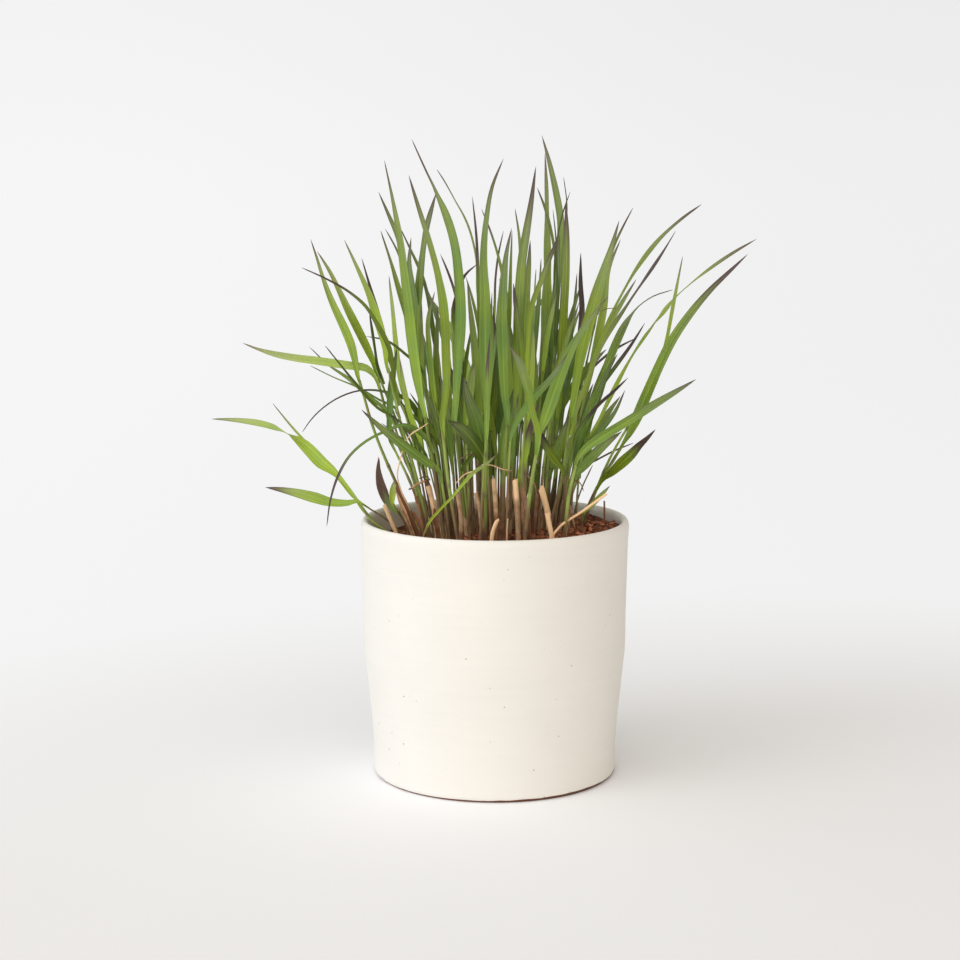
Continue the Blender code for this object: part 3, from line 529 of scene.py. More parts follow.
# Straw, broken stalks and twigs that stand in the soil. The first four are last year's stems.
STUBS = [
    Stalk((-31, -14), 1.5, -18, 0.2, (1.3, 0.3, 0.0), [(-33.5, 147), (-37, 162)]),
    Stalk((0, 6), 1.8, 4, 0.3, (0.6, 0.3, 0.4), [(0, 150), (-1, 166)]),
    Stalk((14, 8), 1.5, 6, 0.5, (1.5, 0.1, 0.5), [(11.7, 151), (10.5, 165)]),
    # The fourth stub's high lightness makes up for the clump's shade round it: painted light.
    Stalk((31, -6), 1.7, -10, 1.0, (2.2, 0.0, 0.0), [(29.2, 148), (26, 160)]),
]
STRAWS = [
    Stalk((-18, -40), 1.3, -42, 0.3, (0.4, 0.5, 0.4), [(-19, 146), (-20.7, 158)]),
    Stalk((-6, -40), 1.2, -42, 0.4, (0.55, 0.5, 0.4), [(-8.4, 148), (-10.6, 158)]),
    Stalk((1, -38), 1.3, -40, 0.3, (0.55, 0.4, 0.5), [(0.6, 148), (-0.6, 166)]),
    Stalk((13, -34), 1.5, -36, 0.5, (1.3, 0.05, 0.66), [(12.4, 150), (11.2, 165)]),
    Stalk((19, -30), 1.5, -32, 0.4, (0.45, 0.5, 0.5), [(17.8, 149), (15, 160.5)]),
    Stalk((-2.4, -47), 1.1, -49, 1.2, (1.2, 0.1, 0.3), [(-0.8, 137), (1.1, 141.8)]),
    Stalk((6.5, -47), 0.45, -48, 0.2, (0.9, 0.4, 0.3), [(6.9, 138), (7.3, 143.5)]),
    Stalk((29, -34), 0.75, -24, 0.3, (1.3, 0.1, 0.1), [(36, 138.5), (48, 147), (62, 157.3)]),
    Stalk((31.6, -38), 1.3, -40, 1.0, (1.4, 0.05, 0.0), [(30.6, 140), (29.4, 146)]),
    Stalk((45, -12), 0.6, -14, 0.2, (0.6, 0.5, 0.4), [(43.5, 143), (42, 151)]),
    Stalk((61.8, 14), 0.5, 15, 0.0, (0.3, 0.95, 0.4), [(61.2, 146), (61, 153.5)]),
    Stalk((-52, -10), 1.1, -14, 0.2, (1.2, 0.1, 0.2), [(-58, 142), (-61.7, 151.2)]),
    Stalk((22, 20), 1.3, 19, 0.4, (0.45, 0.5, 0.4), [(24, 150), (26, 158)]),
    Stalk((-24, 34), 1.2, 38, 0.4, (0.6, 0.4, 0.4), [(-26, 152), (-29, 163)]),
    Stalk((8, 42), 1.4, 46, 0.5, (0.8, 0.2, 0.4), [(9, 154), (11, 166)]),
    Stalk((-14, 48), 0.9, 55, 0.3, (0.5, 0.6, 0.4), [(-16, 155), (-19, 163)]),
    Stalk((33, 36), 1.1, 42, 0.4, (0.7, 0.3, 0.4), [(36, 152), (39, 161)]),
    Stalk((-3, -5), 1.0, -6, 0.3, (0.3, 0.7, 0.4), [(-4, 152), (-5, 168)]),
    Stalk((9, -8), 1.1, -9, 0.3, (0.4, 0.5, 0.4), [(8.5, 150), (8, 163)]),
    Stalk((22, -14), 1.0, -15, 0.3, (0.35, 0.8, 0.4), [(23, 148), (23.5, 157)]),
    Stalk((36, 20), 0.9, 22, 0.3, (0.4, 0.6, 0.4), [(40, 154), (43, 168)]),
    Stalk((-38, -18), 1.0, -20, 0.3, (0.35, 0.8, 0.4), [(-41, 143), (-44, 156)]),
]
# Bits that rest on the stems, as (radius, depths of its ends, tone, drawn path).
TWIGS = [
    (1.25, (-18, -18), (-0.2, 1.3), [(-36.3, 159.8), (-37.4, 163), (-38.4, 165.6)]),
    (0.6, (-18.5, -20), (1.2, 0.7), [(-38.6, 164.8), (-42.5, 163.2), (-46.4, 160.6)]),
    (0.6, (-20, -20.5), (-0.3, 0.4), [(-46.2, 160.8), (-48, 159.7)]),
    (0.4, (-17, -30), (-0.3, 0.4), [(-36, 165), (-38, 167.2), (-42, 166)]),
    (0.36, (-17, -36), (1.1, 0.15),
     [(-47, 148), (-52.5, 160), (-54.3, 167.4), (-53.2, 174.3), (-51.8, 179.7), (-50, 186.1),
      (-47.9, 189.3), (-45.7, 191.5), (-41.4, 194.1), (-37.1, 197.1)]),
    (0.3, (-30, -26), (1.2, 0.2), [(-9, 172), (-3.3, 173.6), (4, 171.4), (9.3, 170.3)]),
    (0.3, (-38, -34), (1.3, 0.2), [(-22, 163), (-16.5, 168.5), (-10, 171), (-4, 176.5)]),
    (0.25, (2, -6), (-0.3, 0.5), [(26, 172.3), (33.5, 171.4)]),
    (0.25, (-8, 2), (-0.3, 0.5), [(-10, 190.6), (-6, 191.2), (-1, 193)]),
    (0.3, (-30, -24), (-0.2, 0.5), [(-20, 176), (-15, 179.6), (-8, 178)]),
    (0.3, (-26, -20), (0.9, 0.5), [(18, 168), (22, 163), (23.5, 156)]),
    (0.3, (-28, -24), (-0.2, 0.6), [(40, 166), (47.5, 163.5), (49.5, 159)]),
    (0.22, (-4, -14), (-0.2, 0.6), [(58, 259), (62, 260.6), (67.6, 260.4)]),
    (0.4, (20, 24), (-0.1, 0.4), [(43, 140), (45.2, 150.4), (48.4, 160.5), (54.3, 173.5)]),
]

# Papery sheaths that the photograph shows singly, as (root, radius, height, lean, tone).
BROAD_SHEATHS = [
    ((-40, -12), 2.0, 37, (-0.4, 0.0), (0.45, 1.0)),
    ((-42.5, -13), 1.2, 34, (-0.36, 0.0), (1.1, 0.6)),
    ((-36, -14), 1.2, 22, (-0.42, 0.0), (0.9, 1.0)),
    ((19, -24), 2.0, 26, (-0.16, 0.0), (0.55, 0.5)),
    ((-30, -20), 1.8, 22, (-0.1, 0.0), (0.4, 0.8)),
    ((3, -28), 1.9, 20, (0.05, -0.05), (0.3, 0.8)),
]
MOSS_PATCHES = [(-30, -30), (-22, -36), (-14, -40), (-34, -22), (-8, -44), (-26, -28)]


def linear(red, green, blue):
    """A colour picked on a screen, from 0 to 255, as the linear values that a shader takes."""
    return tuple(Color((red / 255, green / 255, blue / 255)).from_srgb_to_scene_linear())


def smoothstep(low, high, value):
    """Goes softly from 0 to 1 as the value goes from low to high."""
    share = min(max((value - low) / (high - low), 0.0), 1.0)
    return share * share * (3.0 - 2.0 * share)


def eased(a, b, start, end, run, t):
    """A number or point on the smooth curve from a to b, with its slopes at both ends."""
    return (
        a * ((1 + 2 * t) * (1 - t) ** 2)
        + start * (run * t * (1 - t) ** 2)
        + b * (t * t * (3 - 2 * t))
        + end * (run * t * t * (t - 1))
    )


def colour_setting(name, description, default):
    """A colour that the user can change."""
    return FloatVectorProperty(
        name=name, description=description, subtype="COLOR", size=3, min=0.0, max=1.0,
        default=default,
    )


def whole_setting(name, description, default):
    """A whole number that the user can change."""
    return IntProperty(name=name, description=description, default=default)


def number_setting(name, description, default, unit="NONE"):
    """A number that the user can change."""
    return FloatProperty(name=name, description=description, default=default, unit=unit)


class PotLooks(bpy.types.PropertyGroup):
    """The pot's glaze, clay and throwing marks."""

    glaze: colour_setting("Glaze", "The matt white glaze", linear(242, 239, 233))
    clay: colour_setting("Clay", "The bare clay at the foot", linear(120, 72, 48))
    speck: colour_setting("Specks", "The iron specks in the glaze", linear(118, 104, 88))
    speck_spacing: number_setting(
        "Speck spacing", "How far apart the iron specks lie in the clay", 7.0 * MM, "LENGTH"
    )
    ring_height: number_setting(
        "Throwing rings", "How far the rings left by the fingers stand out", 0.05 * MM, "LENGTH"
    )


class SoilLooks(bpy.types.PropertyGroup):
    """The soil and what lies on it."""

    earth: colour_setting("Earth", "The damp soil", linear(58, 36, 23))
    bark: colour_setting("Bark", "The red-brown bark chips", linear(206, 132, 96))
    moss: colour_setting("Moss", "The moss by the stems", linear(104, 128, 40))
    chips: whole_setting("Bark chips", "How many chips lie on the soil", 1300)
    crumbs: whole_setting("Crumbs", "How many crumbs of soil", 1500)
    seed: whole_setting("Seed", "Another seed lays the litter anew", 4)


class GrassLooks(bpy.types.PropertyGroup):
    """The living and the dry parts of the grass."""

    cool_green: colour_setting("Cool green", "The bluest blades", linear(104, 139, 62))
    warm_green: colour_setting("Warm green", "The yellowest blades", linear(143, 165, 40))
    rib: colour_setting("Midrib", "The pale midrib and blade base", linear(164, 192, 82))
    bloom: colour_setting("Bloom", "The pale bloom on the lightest blades", linear(160, 170, 136))
    tip: colour_setting("Tip", "The dull outer part of a blade", linear(142, 141, 122))
    purple: colour_setting("Purple", "The sunburnt tips", linear(100, 72, 78))
    stem: colour_setting("Stem", "The green upper stems", linear(134, 152, 68))
    stem_foot: colour_setting("Stem foot", "The olive-brown foot of a stem", linear(124, 102, 66))
    straw: colour_setting("Straw", "Dry stalks", linear(244, 206, 162))
    sheath: colour_setting("Sheath", "Dry red-brown sheaths", linear(158, 110, 78))
    inner_shoots: whole_setting(
        "Inner shoots", "How many thin shoots fill the clump between the traced ones", 64
    )
    seed: whole_setting("Seed", "Another seed fills the clump anew", 11)


class StageLooks(bpy.types.PropertyGroup):
    """The floor, the backdrop, the light and the camera."""

    floor: colour_setting("Floor", "The floor by the pot", (0.877, 0.888, 0.909))
    backdrop: colour_setting("Backdrop", "The floor and wall farther off", (0.922, 0.922, 0.922))
    glow: number_setting("Glow", "How much the floor glows by the pot", 0.145)
    key: number_setting("Key light", "The softbox on the left, in watts", 7.5, "POWER")
    ambient: number_setting("Ambient", "The light from all around", 0.74)
    lean: number_setting("Ambient lean", "How much brighter it is in front and on the left", 0.74)
    left_light: colour_setting("Light on the left", "Its colour", (0.93, 0.96, 1.0))
    right_light: colour_setting("Light on the right", "Its colour", (1.0, 0.865, 0.68))
    lens: number_setting("Lens", "The focal length on a 36 mm sensor", 78.19, "CAMERA")


class Value:
    """A node's output. Arithmetic with it adds Math nodes to its tree."""

    def __init__(self, nodes, socket):
        self.nodes, self.socket = nodes, socket

    def math(self, operation, *others):
        inputs = dict(enumerate((self, *others)))
        return self.nodes.add("ShaderNodeMath", inputs, operation=operation)

    def __add__(self, other):
        return self.math("ADD", other)

    def __sub__(self, other):
        return self.math("SUBTRACT", other)

    def __mul__(self, other):
        return self.math("MULTIPLY", other)

    def swing(self, amount):
        """How far the value lies from a half, times an amount."""
        return (self - 0.5) * amount

    def between(self, low, high, start=0.0, end=1.0, run="SMOOTHSTEP"):
        """Goes softly from start to end as the value goes from low to high."""
        inputs = {"Value": self, "From Min": low, "From Max": high, "To Min": start, "To Max": end}
        return self.nodes.add("ShaderNodeMapRange", inputs, interpolation_type=run)

    def parts(self):
        """The three numbers of a vector."""
        made = self.nodes.node("ShaderNodeSeparateXYZ", {0: self})
        return [Value(self.nodes, output) for output in made.outputs]


class Nodes:
    """A node tree under way. Inputs are Values of its own, or plain numbers and colours."""

    def __init__(self, tree):
        self.tree = tree

    def feed(self, socket, value):
        """Links a Value to a socket, or sets the socket's own value."""
        if isinstance(value, Value):
            self.tree.links.new(value.socket, socket)
        elif socket.type == "RGBA":
            socket.default_value = (*value, 1.0)
        else:
            socket.default_value = value

    def node(self, kind, inputs, **settings):
        """A new node with its settings made and its inputs fed, by name or number."""
        made = self.tree.nodes.new(kind)
        for key, value in settings.items():
            setattr(made, key, value)
        for key, value in inputs.items():
            self.feed(made.inputs[key], value)
        return made

    def add(self, kind, inputs, output=0, **settings):
        """One output of a new node."""
        return Value(self, self.node(kind, inputs, **settings).outputs[output])

    def mix(self, share, first, second, blend="MIX"):
        """One colour laid over another."""
        inputs = {0: share, 6: first, 7: second}
        return self.add("ShaderNodeMix", inputs, 2, data_type="RGBA", blend_type=blend)


class Finish(Nodes):
    """A Principled material under way."""

    def __init__(self, name, roughness, specular):
        self.material = bpy.data.materials.new(name)
        self.material.use_nodes = True
        super().__init__(self.material.node_tree)
        self.shader = self.tree.nodes["Principled BSDF"]
        self.shader.inputs["Roughness"].default_value = roughness
        self.shader.inputs["Specular IOR Level"].default_value = specular

    def place(self):
        """The point's place in metres, as a vector."""
        return self.add("ShaderNodeTexCoord", {}, "Object")

    def strip(self):
        """How far across and how far along its strip a point lies, from 0 to 1."""
        return self.add("ShaderNodeUVMap", {}, uv_map="strip").parts()[:2]

    def tone(self):
        """The three numbers that each piece keeps to vary its finish."""
        return self.add("ShaderNodeAttribute", {}, "Vector", attribute_name="tone").parts()

    def vector(self, x, y, z):
        return self.add("ShaderNodeCombineXYZ", {0: x, 1: y, 2: z})

    def shade(self, colour, amount, depth=1.0):
        """A colour made brighter or darker by a factor. A depth over 1 takes more of the blue
        out of the dark, so that it stays rich."""
        blue = amount.math("POWER", depth)
        return self.mix(1.0, colour, self.vector(amount, amount, blue), "MULTIPLY")

    def noise(self, vector, scale, detail=2.0):
        return self.add("ShaderNodeTexNoise", {"Vector": vector, "Scale": scale, "Detail": detail})

    def specks(self, vector, spacing, radius):
        """Round specks strewn through the clay, and a random number for each."""
        cells = self.node("ShaderNodeTexVoronoi", {"Vector": vector, "Scale": 1.0 / spacing})
        distance, colour = (Value(self, cells.outputs[name]) for name in ("Distance", "Color"))
        size = radius / spacing
        return distance.between(size, size * 1.5, 1.0, 0.0), colour.parts()[0]

    def done(self, colour, roughness=None, height=None, relief=0.0):
        """The material, with its colour, roughness and relief linked to the shader."""
        self.feed(self.shader.inputs["Base Color"], colour)
        if roughness is not None:
            self.feed(self.shader.inputs["Roughness"], roughness)
            bump = self.add("ShaderNodeBump", {"Height": height, "Distance": relief})
            self.feed(self.shader.inputs["Normal"], bump)
        return self.material


def glaze_finish(looks):
    """Matt white glaze with cloudy tones and iron specks, over bare clay at the foot. The bare band
    is painted wider and darker towards the right, as painted shade.
    """
    finish = Finish("speckled_glaze", 0.5, 0.22)
    place = finish.place()
    x, y, z = place.parts()
    wiped = finish.noise(finish.vector(x, y, z * 16.0), 22.0, 3.0)
    cloud = finish.noise(place, 34.0, 3.0)
    colour = finish.shade(looks.glaze, cloud * 0.05 + 0.95 + wiped * 0.035)
    for spacing, radius, strength in (
        (looks.speck_spacing, 0.36 * MM, 0.7),
        (looks.speck_spacing * 0.52, 0.18 * MM, 0.22),
    ):
        shown, luck = finish.specks(place, spacing, radius)
        shown = shown * luck.between(0.35, 1.0, 0.08, strength) * z.between(0.04, 0.13, 1.0, 0.45)
        colour = finish.mix(shown, colour, looks.speck)
    left, right = -60.0 * MM, 60.0 * MM
    # Painted shade: the bare clay band at the foot rises higher towards the right.
    shade_band_lift = x.between(left, right, -0.3 * MM, 0.7 * MM)
    edge = z + finish.noise(place, 90.0) * (0.9 * MM) - shade_band_lift
    grain = finish.noise(place, 1400.0, 3.0)
    # Painted shade: the bare clay darkens towards the right.
    clay = finish.shade(looks.clay, x.between(left, right, 0.8, 0.4) + grain * 0.6)
    colour = finish.mix(edge.between(1.5 * MM, 1.8 * MM, 1.0, 0.0), colour, clay)
    roughness = cloud.between(0.3, 0.7, 0.44, 0.56)
    return finish.done(colour, roughness, grain + wiped * 1.6, 0.05 * MM)


def leaf_finish(looks):
    """A grass blade: fine veins, a pale midrib, long streaks, and a purple tip and margin."""
    finish = Finish("leaf_blade", 0.42, 0.36)
    across, along = finish.strip()
    light, warm, purple_from = finish.tone()
    place = finish.place()
    edge = (across * 2.0 - 1.0).math("ABSOLUTE")
    along_streaks = finish.vector(across * 9.0, along * 2.4, (light + warm) * 37.0)
    streak = finish.noise(along_streaks, 1.0, 3.0)
    veins = (across * (7.0 * math.tau)).math("SINE")
    warmth = warm + (finish.noise(place, 55.0) - 0.5)
    green = finish.mix(warmth.between(-0.1, 1.1), looks.cool_green, looks.warm_green)
    bright = light * 0.62 + 0.68 + streak.swing(1.1) + veins * 0.04
    # Painted light: blades are lighter below 0.26 m, low in the clump where its shade falls.
    bright = bright.math("MAXIMUM", 0.1) * place.parts()[2].between(0.17, 0.26, 1.32, 1.0)
    purple = finish.shade(looks.purple, light * 0.6 + 0.6)
    burnt = along + edge * 0.07 + streak.swing(0.16) - purple_from
    colour = finish.shade(green, bright, 1.7)
    for share, laid in (
        (light.between(0.9, 1.8, 0.0, 0.25), finish.shade(looks.bloom, bright)),
        (along.between(0.4, 1.0, 0.0, 0.5), finish.shade(looks.tip, bright)),
        (edge.between(0.03, 0.16, 0.3, 0.0), looks.rib),
        (along.between(0.0, 0.16, 0.35, 0.0), looks.rib),
        (edge.between(0.84, 1.0, 0.0, 0.18), purple),
        (burnt.between(-0.1, 0.14, 0.0, 0.92), purple),
    ):
        colour = finish.mix(share, colour, laid)
    roughness = streak.between(0.3, 0.7, 0.36, 0.5)
    return finish.done(colour, roughness, veins * 0.5 + streak, 0.025 * MM)


def stem_finish(looks):
    """A grass stem: ribbed along its length, green above, olive-brown below, darker joints."""
    finish = Finish("grass_stem", 0.5, 0.35)
    ribs = (finish.strip()[0] * (7.0 * math.tau)).math("SINE")
    light, dry, joint = finish.tone()
    x, y, z = finish.place().parts()
    streak = finish.noise(finish.vector(x, y, z * 0.08), 900.0)
    patch = finish.noise(finish.vector(x, y, z), 160.0)
    dryness = dry + patch.swing(0.7)
    colour = finish.mix(dryness.between(0.1, 0.9), looks.stem, looks.stem_foot)
    colour = finish.mix(patch.between(0.58, 0.78, 0.0, 0.35), colour, looks.sheath)
    bright = light * 0.75 + 0.5 + streak.swing(0.6) + ribs * 0.05
    # Painted light: stems are lighter below 0.26 m, low in the clump where its shade falls.
    colour = finish.shade(colour, bright * z.between(0.17, 0.26, 1.25, 1.0), 1.4)
    colour = finish.mix(joint * 0.6, colour, looks.purple)
    roughness = streak.between(0.3, 0.7, 0.42, 0.62)
    return finish.done(colour, roughness, ribs * 0.5 + streak, 0.08 * MM)


def straw_finish(looks):
    """Dry stalks and papery sheaths: fibres along the length, pale straw to red-brown."""
    finish = Finish("dry_straw", 0.75, 0.2)
    across, along = finish.strip()
    light, red, seed = finish.tone()
    fibre = finish.noise(finish.vector(across * 16.0, along * 2.0, seed * 50.0), 1.0, 3.0)
    redness = red + (finish.noise(finish.place(), 260.0, 3.0) - 0.5)
    colour = finish.mix(redness.between(0.0, 1.0), looks.straw, looks.sheath)
    colour = finish.shade(colour, light * 0.5 + 0.5 + fibre.swing(0.9))
    return finish.done(colour, fibre.between(0.3, 0.7, 0.66, 0.84), fibre, 0.12 * MM)


def soil_finish(looks, name, colour, relief):
    """Soil, bark or moss: fibrous and mottled, each chip or crumb with a tone of its own."""
    finish = Finish(name, 0.9, 0.15)
    light, red, seed = finish.tone()
    place = finish.place()
    x, y, _ = place.parts()
    grain = finish.noise(place, 1100.0, 4.0)
    fibre = finish.noise(finish.vector(x + seed, y, seed), 500.0)
    bright = light * 0.9 + 0.35 + grain.swing(1.1) + fibre.swing(0.5)
    colour = finish.shade(
        finish.mix(red * 0.75, looks.earth, colour), bright.math("MAXIMUM", 0.08)
    )
    return finish.done(colour, grain.between(0.3, 0.7, 0.82, 0.97), grain, relief)


def stage_finish(looks):
    """The pale floor, which glows softly, as the backdrop does, farther from the pot. The glow is
    painted light: weak by the pot, where it lifts the floor and its shadows, and dimmer to the
    right and at the top as painted shade.
    """
    finish = Finish("stage", 0.9, 0.0)
    x, y, z = finish.place().parts()
    aside, ahead = x - 0.2, y + 0.35
    reach = (aside * aside + ahead * ahead).math("SQRT")
    glow = reach.between(0.42, 0.9, looks.glow, 1.0)
    # Painted shade: the glow dims towards the right and towards the top.
    glow = glow * x.between(-0.9, 0.9, 1.0, 0.94) * z.between(0.2, 0.8, 1.0, 0.965)
    finish.feed(finish.shader.inputs["Emission Color"], looks.backdrop)
    finish.feed(finish.shader.inputs["Emission Strength"], glow)
    return finish.done(finish.mix(reach.between(0.42, 0.9), looks.floor, (0.0, 0.0, 0.0)))


def drawn(across, up, depth):
    """The real place, in mm, of a drawn point set back along the line of sight."""
    on_plane = Vector((across, 0.0, up))
    return EYE + (on_plane - EYE) * (1.0 + depth / -EYE.y)


def as_drawn(place):
    """Where the line of sight to a real place crosses the plane that the tables are drawn on."""
    seen = EYE + (place - EYE) / (1.0 + place.y / -EYE.y)
    return seen.x, seen.z


def set_back(start, points, end_depth, bend):
    """The real places of drawn points whose depth goes from the start's to the end's."""
    flat = [Vector(point[:2]) for point in [as_drawn(start), *points]]
    return [
        drawn(point[0], point[1], start.y + (end_depth - start.y) * share**bend)
        for point, share in zip(points, shares_of(flat)[1:])
    ]


def outer_radius(height):
    """The pot's outer radius at a height, on a smooth curve through POT_OUTLINE."""
    last = len(POT_OUTLINE) - 1
    height = min(max(height, POT_OUTLINE[0][1]), POT_OUTLINE[last][1])
    above = next(i for i in range(1, last + 1) if height <= POT_OUTLINE[i][1])
    (before, low), (a, start), (b, end), (beyond, high) = (
        POT_OUTLINE[min(max(i, 0), last)] for i in range(above - 2, above + 2)
    )
    slopes = (b - before) / (end - low), (beyond - a) / (high - start)
    return eased(a, b, *slopes, end - start, (height - start) / (end - start))


def inner_radius(height):
    """The pot's inner radius at a height: the wall thins towards the rim."""
    share = height / POT_HEIGHT
    return outer_radius(height) - WALL_AT_FOOT + (WALL_AT_FOOT - WALL_AT_RIM) * share


def soil_height(x, y):
    """The height of the soil's top, which lies lower on the left, with shallow lumps."""
    lumps = math.sin(x * 0.11 + 1.0) * math.cos(y * 0.13) + 0.6 * math.sin(x * 0.05 - y * 0.19)
    return SOIL_MIDDLE + SOIL_SLOPE * x + SOIL_LUMP * lumps


def on_soil(x, y, rise=0.0):
    """A point on the soil's top, or a little above it."""
    return Vector((x, y, soil_height(x, y) + rise))


def around(away, turn):
    """A place so far away from the pot's axis, in a direction."""
    return away * math.cos(turn), away * math.sin(turn)


def smooth_path(knots, spacing):
    """Points on a curve through all the knots, at most one spacing apart. A knot may carry a
    width as its fourth number."""
    pairs = list(zip(knots, knots[1:]))
    gaps = [(b - a).length for a, b in pairs]
    slopes = [(b - a) / gap for (a, b), gap in zip(pairs, gaps)]
    tangents = [slopes[0]]
    for before, after, near, far in zip(slopes, slopes[1:], gaps, gaps[1:]):
        tangents.append((before * far + after * near) / (near + far))
    tangents.append(slopes[-1])
    made = []
    for (a, b), start, end, gap in zip(pairs, tangents, tangents[1:], gaps):
        steps = math.ceil(gap / spacing)
        made += [eased(a, b, start, end, gap, step / steps) for step in range(steps)]
    return [*made, knots[-1]]


def shares_of(path):
    """How far along the path each of its points lies, from 0 to 1."""
    lengths = [0.0]
    for a, b in zip(path, path[1:]):
        lengths.append(lengths[-1] + (b - a).length)
    return [length / lengths[-1] for length in lengths]


def at_share(path, share):
    """The point and the direction at a share of the path's length."""
    shares = shares_of(path)
    index = max(i for i, s in enumerate(shares[:-1]) if s <= share)
    a, b = path[index:index + 2]
    t = (share - shares[index]) / (shares[index + 1] - shares[index])
    return a.lerp(b, t), (b - a).normalized()


def frames(path, facing):
    """The direction, face normal and width direction at each point, carried along unturned."""
    made = []
    normal = Vector(facing)
    for behind, ahead in zip([path[0], *path], [*path[1:], path[-1]]):
        tangent = (ahead - behind).normalized()
        normal = (normal - tangent * normal.dot(tangent)).normalized()
        made.append((tangent, normal, tangent.cross(normal)))
    return made


def new_mesh():
    """An empty bmesh with the strip's UV map and the tone of each vertex."""
    bm = bmesh.new()
    bm.loops.layers.uv.new("strip")
    bm.verts.layers.float_vector.new("tone")
    return bm


def add_strip(bm, columns, rows, place, tone):
    """A grid whose vertices go where place(across, row) says, across going from -1 to 1. Those
    that meet are joined, so that it can be rolled into a tube or drawn to a point. Returns its
    faces."""
    layer = bm.verts.layers.float_vector["tone"]
    made = bmesh.ops.create_grid(
        bm, x_segments=columns, y_segments=rows - 1, size=1.0, calc_uvs=True
    )["verts"]
    for vert in made:
        across, row = vert.co.x, round((vert.co.y + 1.0) * 0.5 * (rows - 1))
        vert.co = place(across, row)
        vert[layer] = tone(row)
    bmesh.ops.remove_doubles(bm, verts=made, dist=MERGE_DISTANCE)
    faces = (face for vert in made if vert.is_valid for face in vert.link_faces)
    return list(dict.fromkeys(faces))


def add_turned(bm, profile, segments, merge=MERGE_DISTANCE):
    """A round shape, turned about the upright axis from a profile of (radius, height)."""
    verts = [bm.verts.new((radius, 0.0, height)) for radius, height in profile]
    edges = [bm.edges.new(pair) for pair in zip(verts, verts[1:])]
    bmesh.ops.spin(
        bm, geom=verts + edges, cent=(0, 0, 0), axis=(0, 0, 1), angle=math.tau,
        steps=segments, use_merge=True,
    )
    bmesh.ops.remove_doubles(bm, verts=bm.verts, dist=merge)


def new_object(name, bm, surface):
    """A smooth object of a bmesh, which it uses up."""
    mesh = bpy.data.meshes.new(name)
    bm.to_mesh(mesh)
    bm.free()
    mesh.materials.append(surface)
    mesh.shade_smooth()
    made = bpy.data.objects.new(name, mesh)
    bpy.context.scene.collection.objects.link(made)
    return made


def add_piece(name, bm, surface, node=None, sharp=50.0):
    """Turns a bmesh in mm into a piece of the object, which takes the place of a node."""
    bmesh.ops.scale(bm, vec=(MM, MM, MM), verts=bm.verts)
    bmesh.ops.recalc_face_normals(bm, faces=bm.faces)
    piece = new_object(name, bm, surface)
    piece.data.set_sharp_from_angle(angle=math.radians(sharp))
    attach(piece, BODY)
    if node:
        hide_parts(node)


def add_round(bm, path, turned, rings, tones, sides, lift=None):
    """A closed round shape through rings of (index into the path, radius). A lift says how far
    along the path a ring's point at an angle is pushed."""

    def place(across, row):
        index, radius = rings[row]
        tangent, normal, side = turned[index]
        angle = math.pi * across
        out = side * math.cos(angle) + normal * math.sin(angle)
        pushed = tangent * lift(index, angle) if lift else Vector()
        return path[index] + out * radius + pushed

    add_strip(bm, sides, len(rings), place, lambda row: tones[rings[row][0]])


def add_tube(bm, path, radii, tones, sides):
    """A closed round stalk along a path."""
    rings = [(0, 0.0), *enumerate(radii), (len(path) - 1, 0.0)]
    add_round(bm, path, frames(path, STEM_FACING), rings, tones, sides)


def add_blade(bm, knots, face, twist, tone, columns=BLADE_COLUMNS, spacing=BLADE_ROW_SPACING):
    """A thin blade along knots that carry its seen width. It is folded round its stem at the
    base, opens to a shallow keel, and has slightly waved margins."""
    points = smooth_path(knots, spacing)
    path = [point.xyz for point in points]
    turn, lift = math.radians(face), math.radians(BLADE_FACE_UP)
    facing = (math.sin(turn) * math.cos(lift), -math.cos(turn) * math.cos(lift), math.sin(lift))
    phase = 9.0 * (tone[0] + knots[-1].x * 0.13)
    length = (path[-1] - path[0]).length
    stations = []
    for point, share, (tangent, normal, _) in zip(points, shares_of(path), frames(path, facing)):
        turned = math.radians(twist) * smoothstep(0.35, 0.85, share)
        normal = Matrix.Rotation(turned, 3, tangent) @ normal
        side = tangent.cross(normal)
        closed = 1.0 - smoothstep(0.0, BLADE_BASE_LENGTH / length, share)
        fold = math.radians(BLADE_FOLD + (BLADE_BASE_FOLD - BLADE_FOLD) * closed)
        sight = (point.xyz - EYE).normalized()
        seen_side = side - sight * side.dot(sight)
        seen_along = (tangent - sight * tangent.dot(sight)).normalized()
        shown = (seen_side - seen_along * seen_side.dot(seen_along)).length
        half = 0.5 * max(point.w, 0.0) / max(shown, LEAST_SEEN_WIDTH)
        wave = normal * (MARGIN_WAVE * half * math.sin(share * length * WAVE_PITCH + phase))
        half = half if share < 1.0 else 0.0
        out, up = side * (half * math.cos(fold)), normal * (half * math.sin(fold))
        stations.append((point.xyz, out, up, wave))

    def place(across, row):
        centre, out, up, wave = stations[row]
        keel = math.hypot(across, KEEL_ROUNDING) - KEEL_ROUNDING
        return centre + out * across + up * keel + wave * across**3

    faces = add_strip(bm, columns, len(stations), place, lambda row: tone)
    bmesh.ops.solidify(bm, geom=faces, thickness=BLADE_THICKNESS)


def stem_knots(root, points, top_depth):
    """The knots of a stalk: its foot in the soil, its place just above, then its drawn points."""
    surface = on_soil(*root)
    above = set_back(surface, points, top_depth, 1.0)
    down = (surface - above[0]).normalized()
    foot = surface + down * (ROOT_DEPTH / abs(down.z))
    return [foot, surface - down * ROOT_RISE, *above]


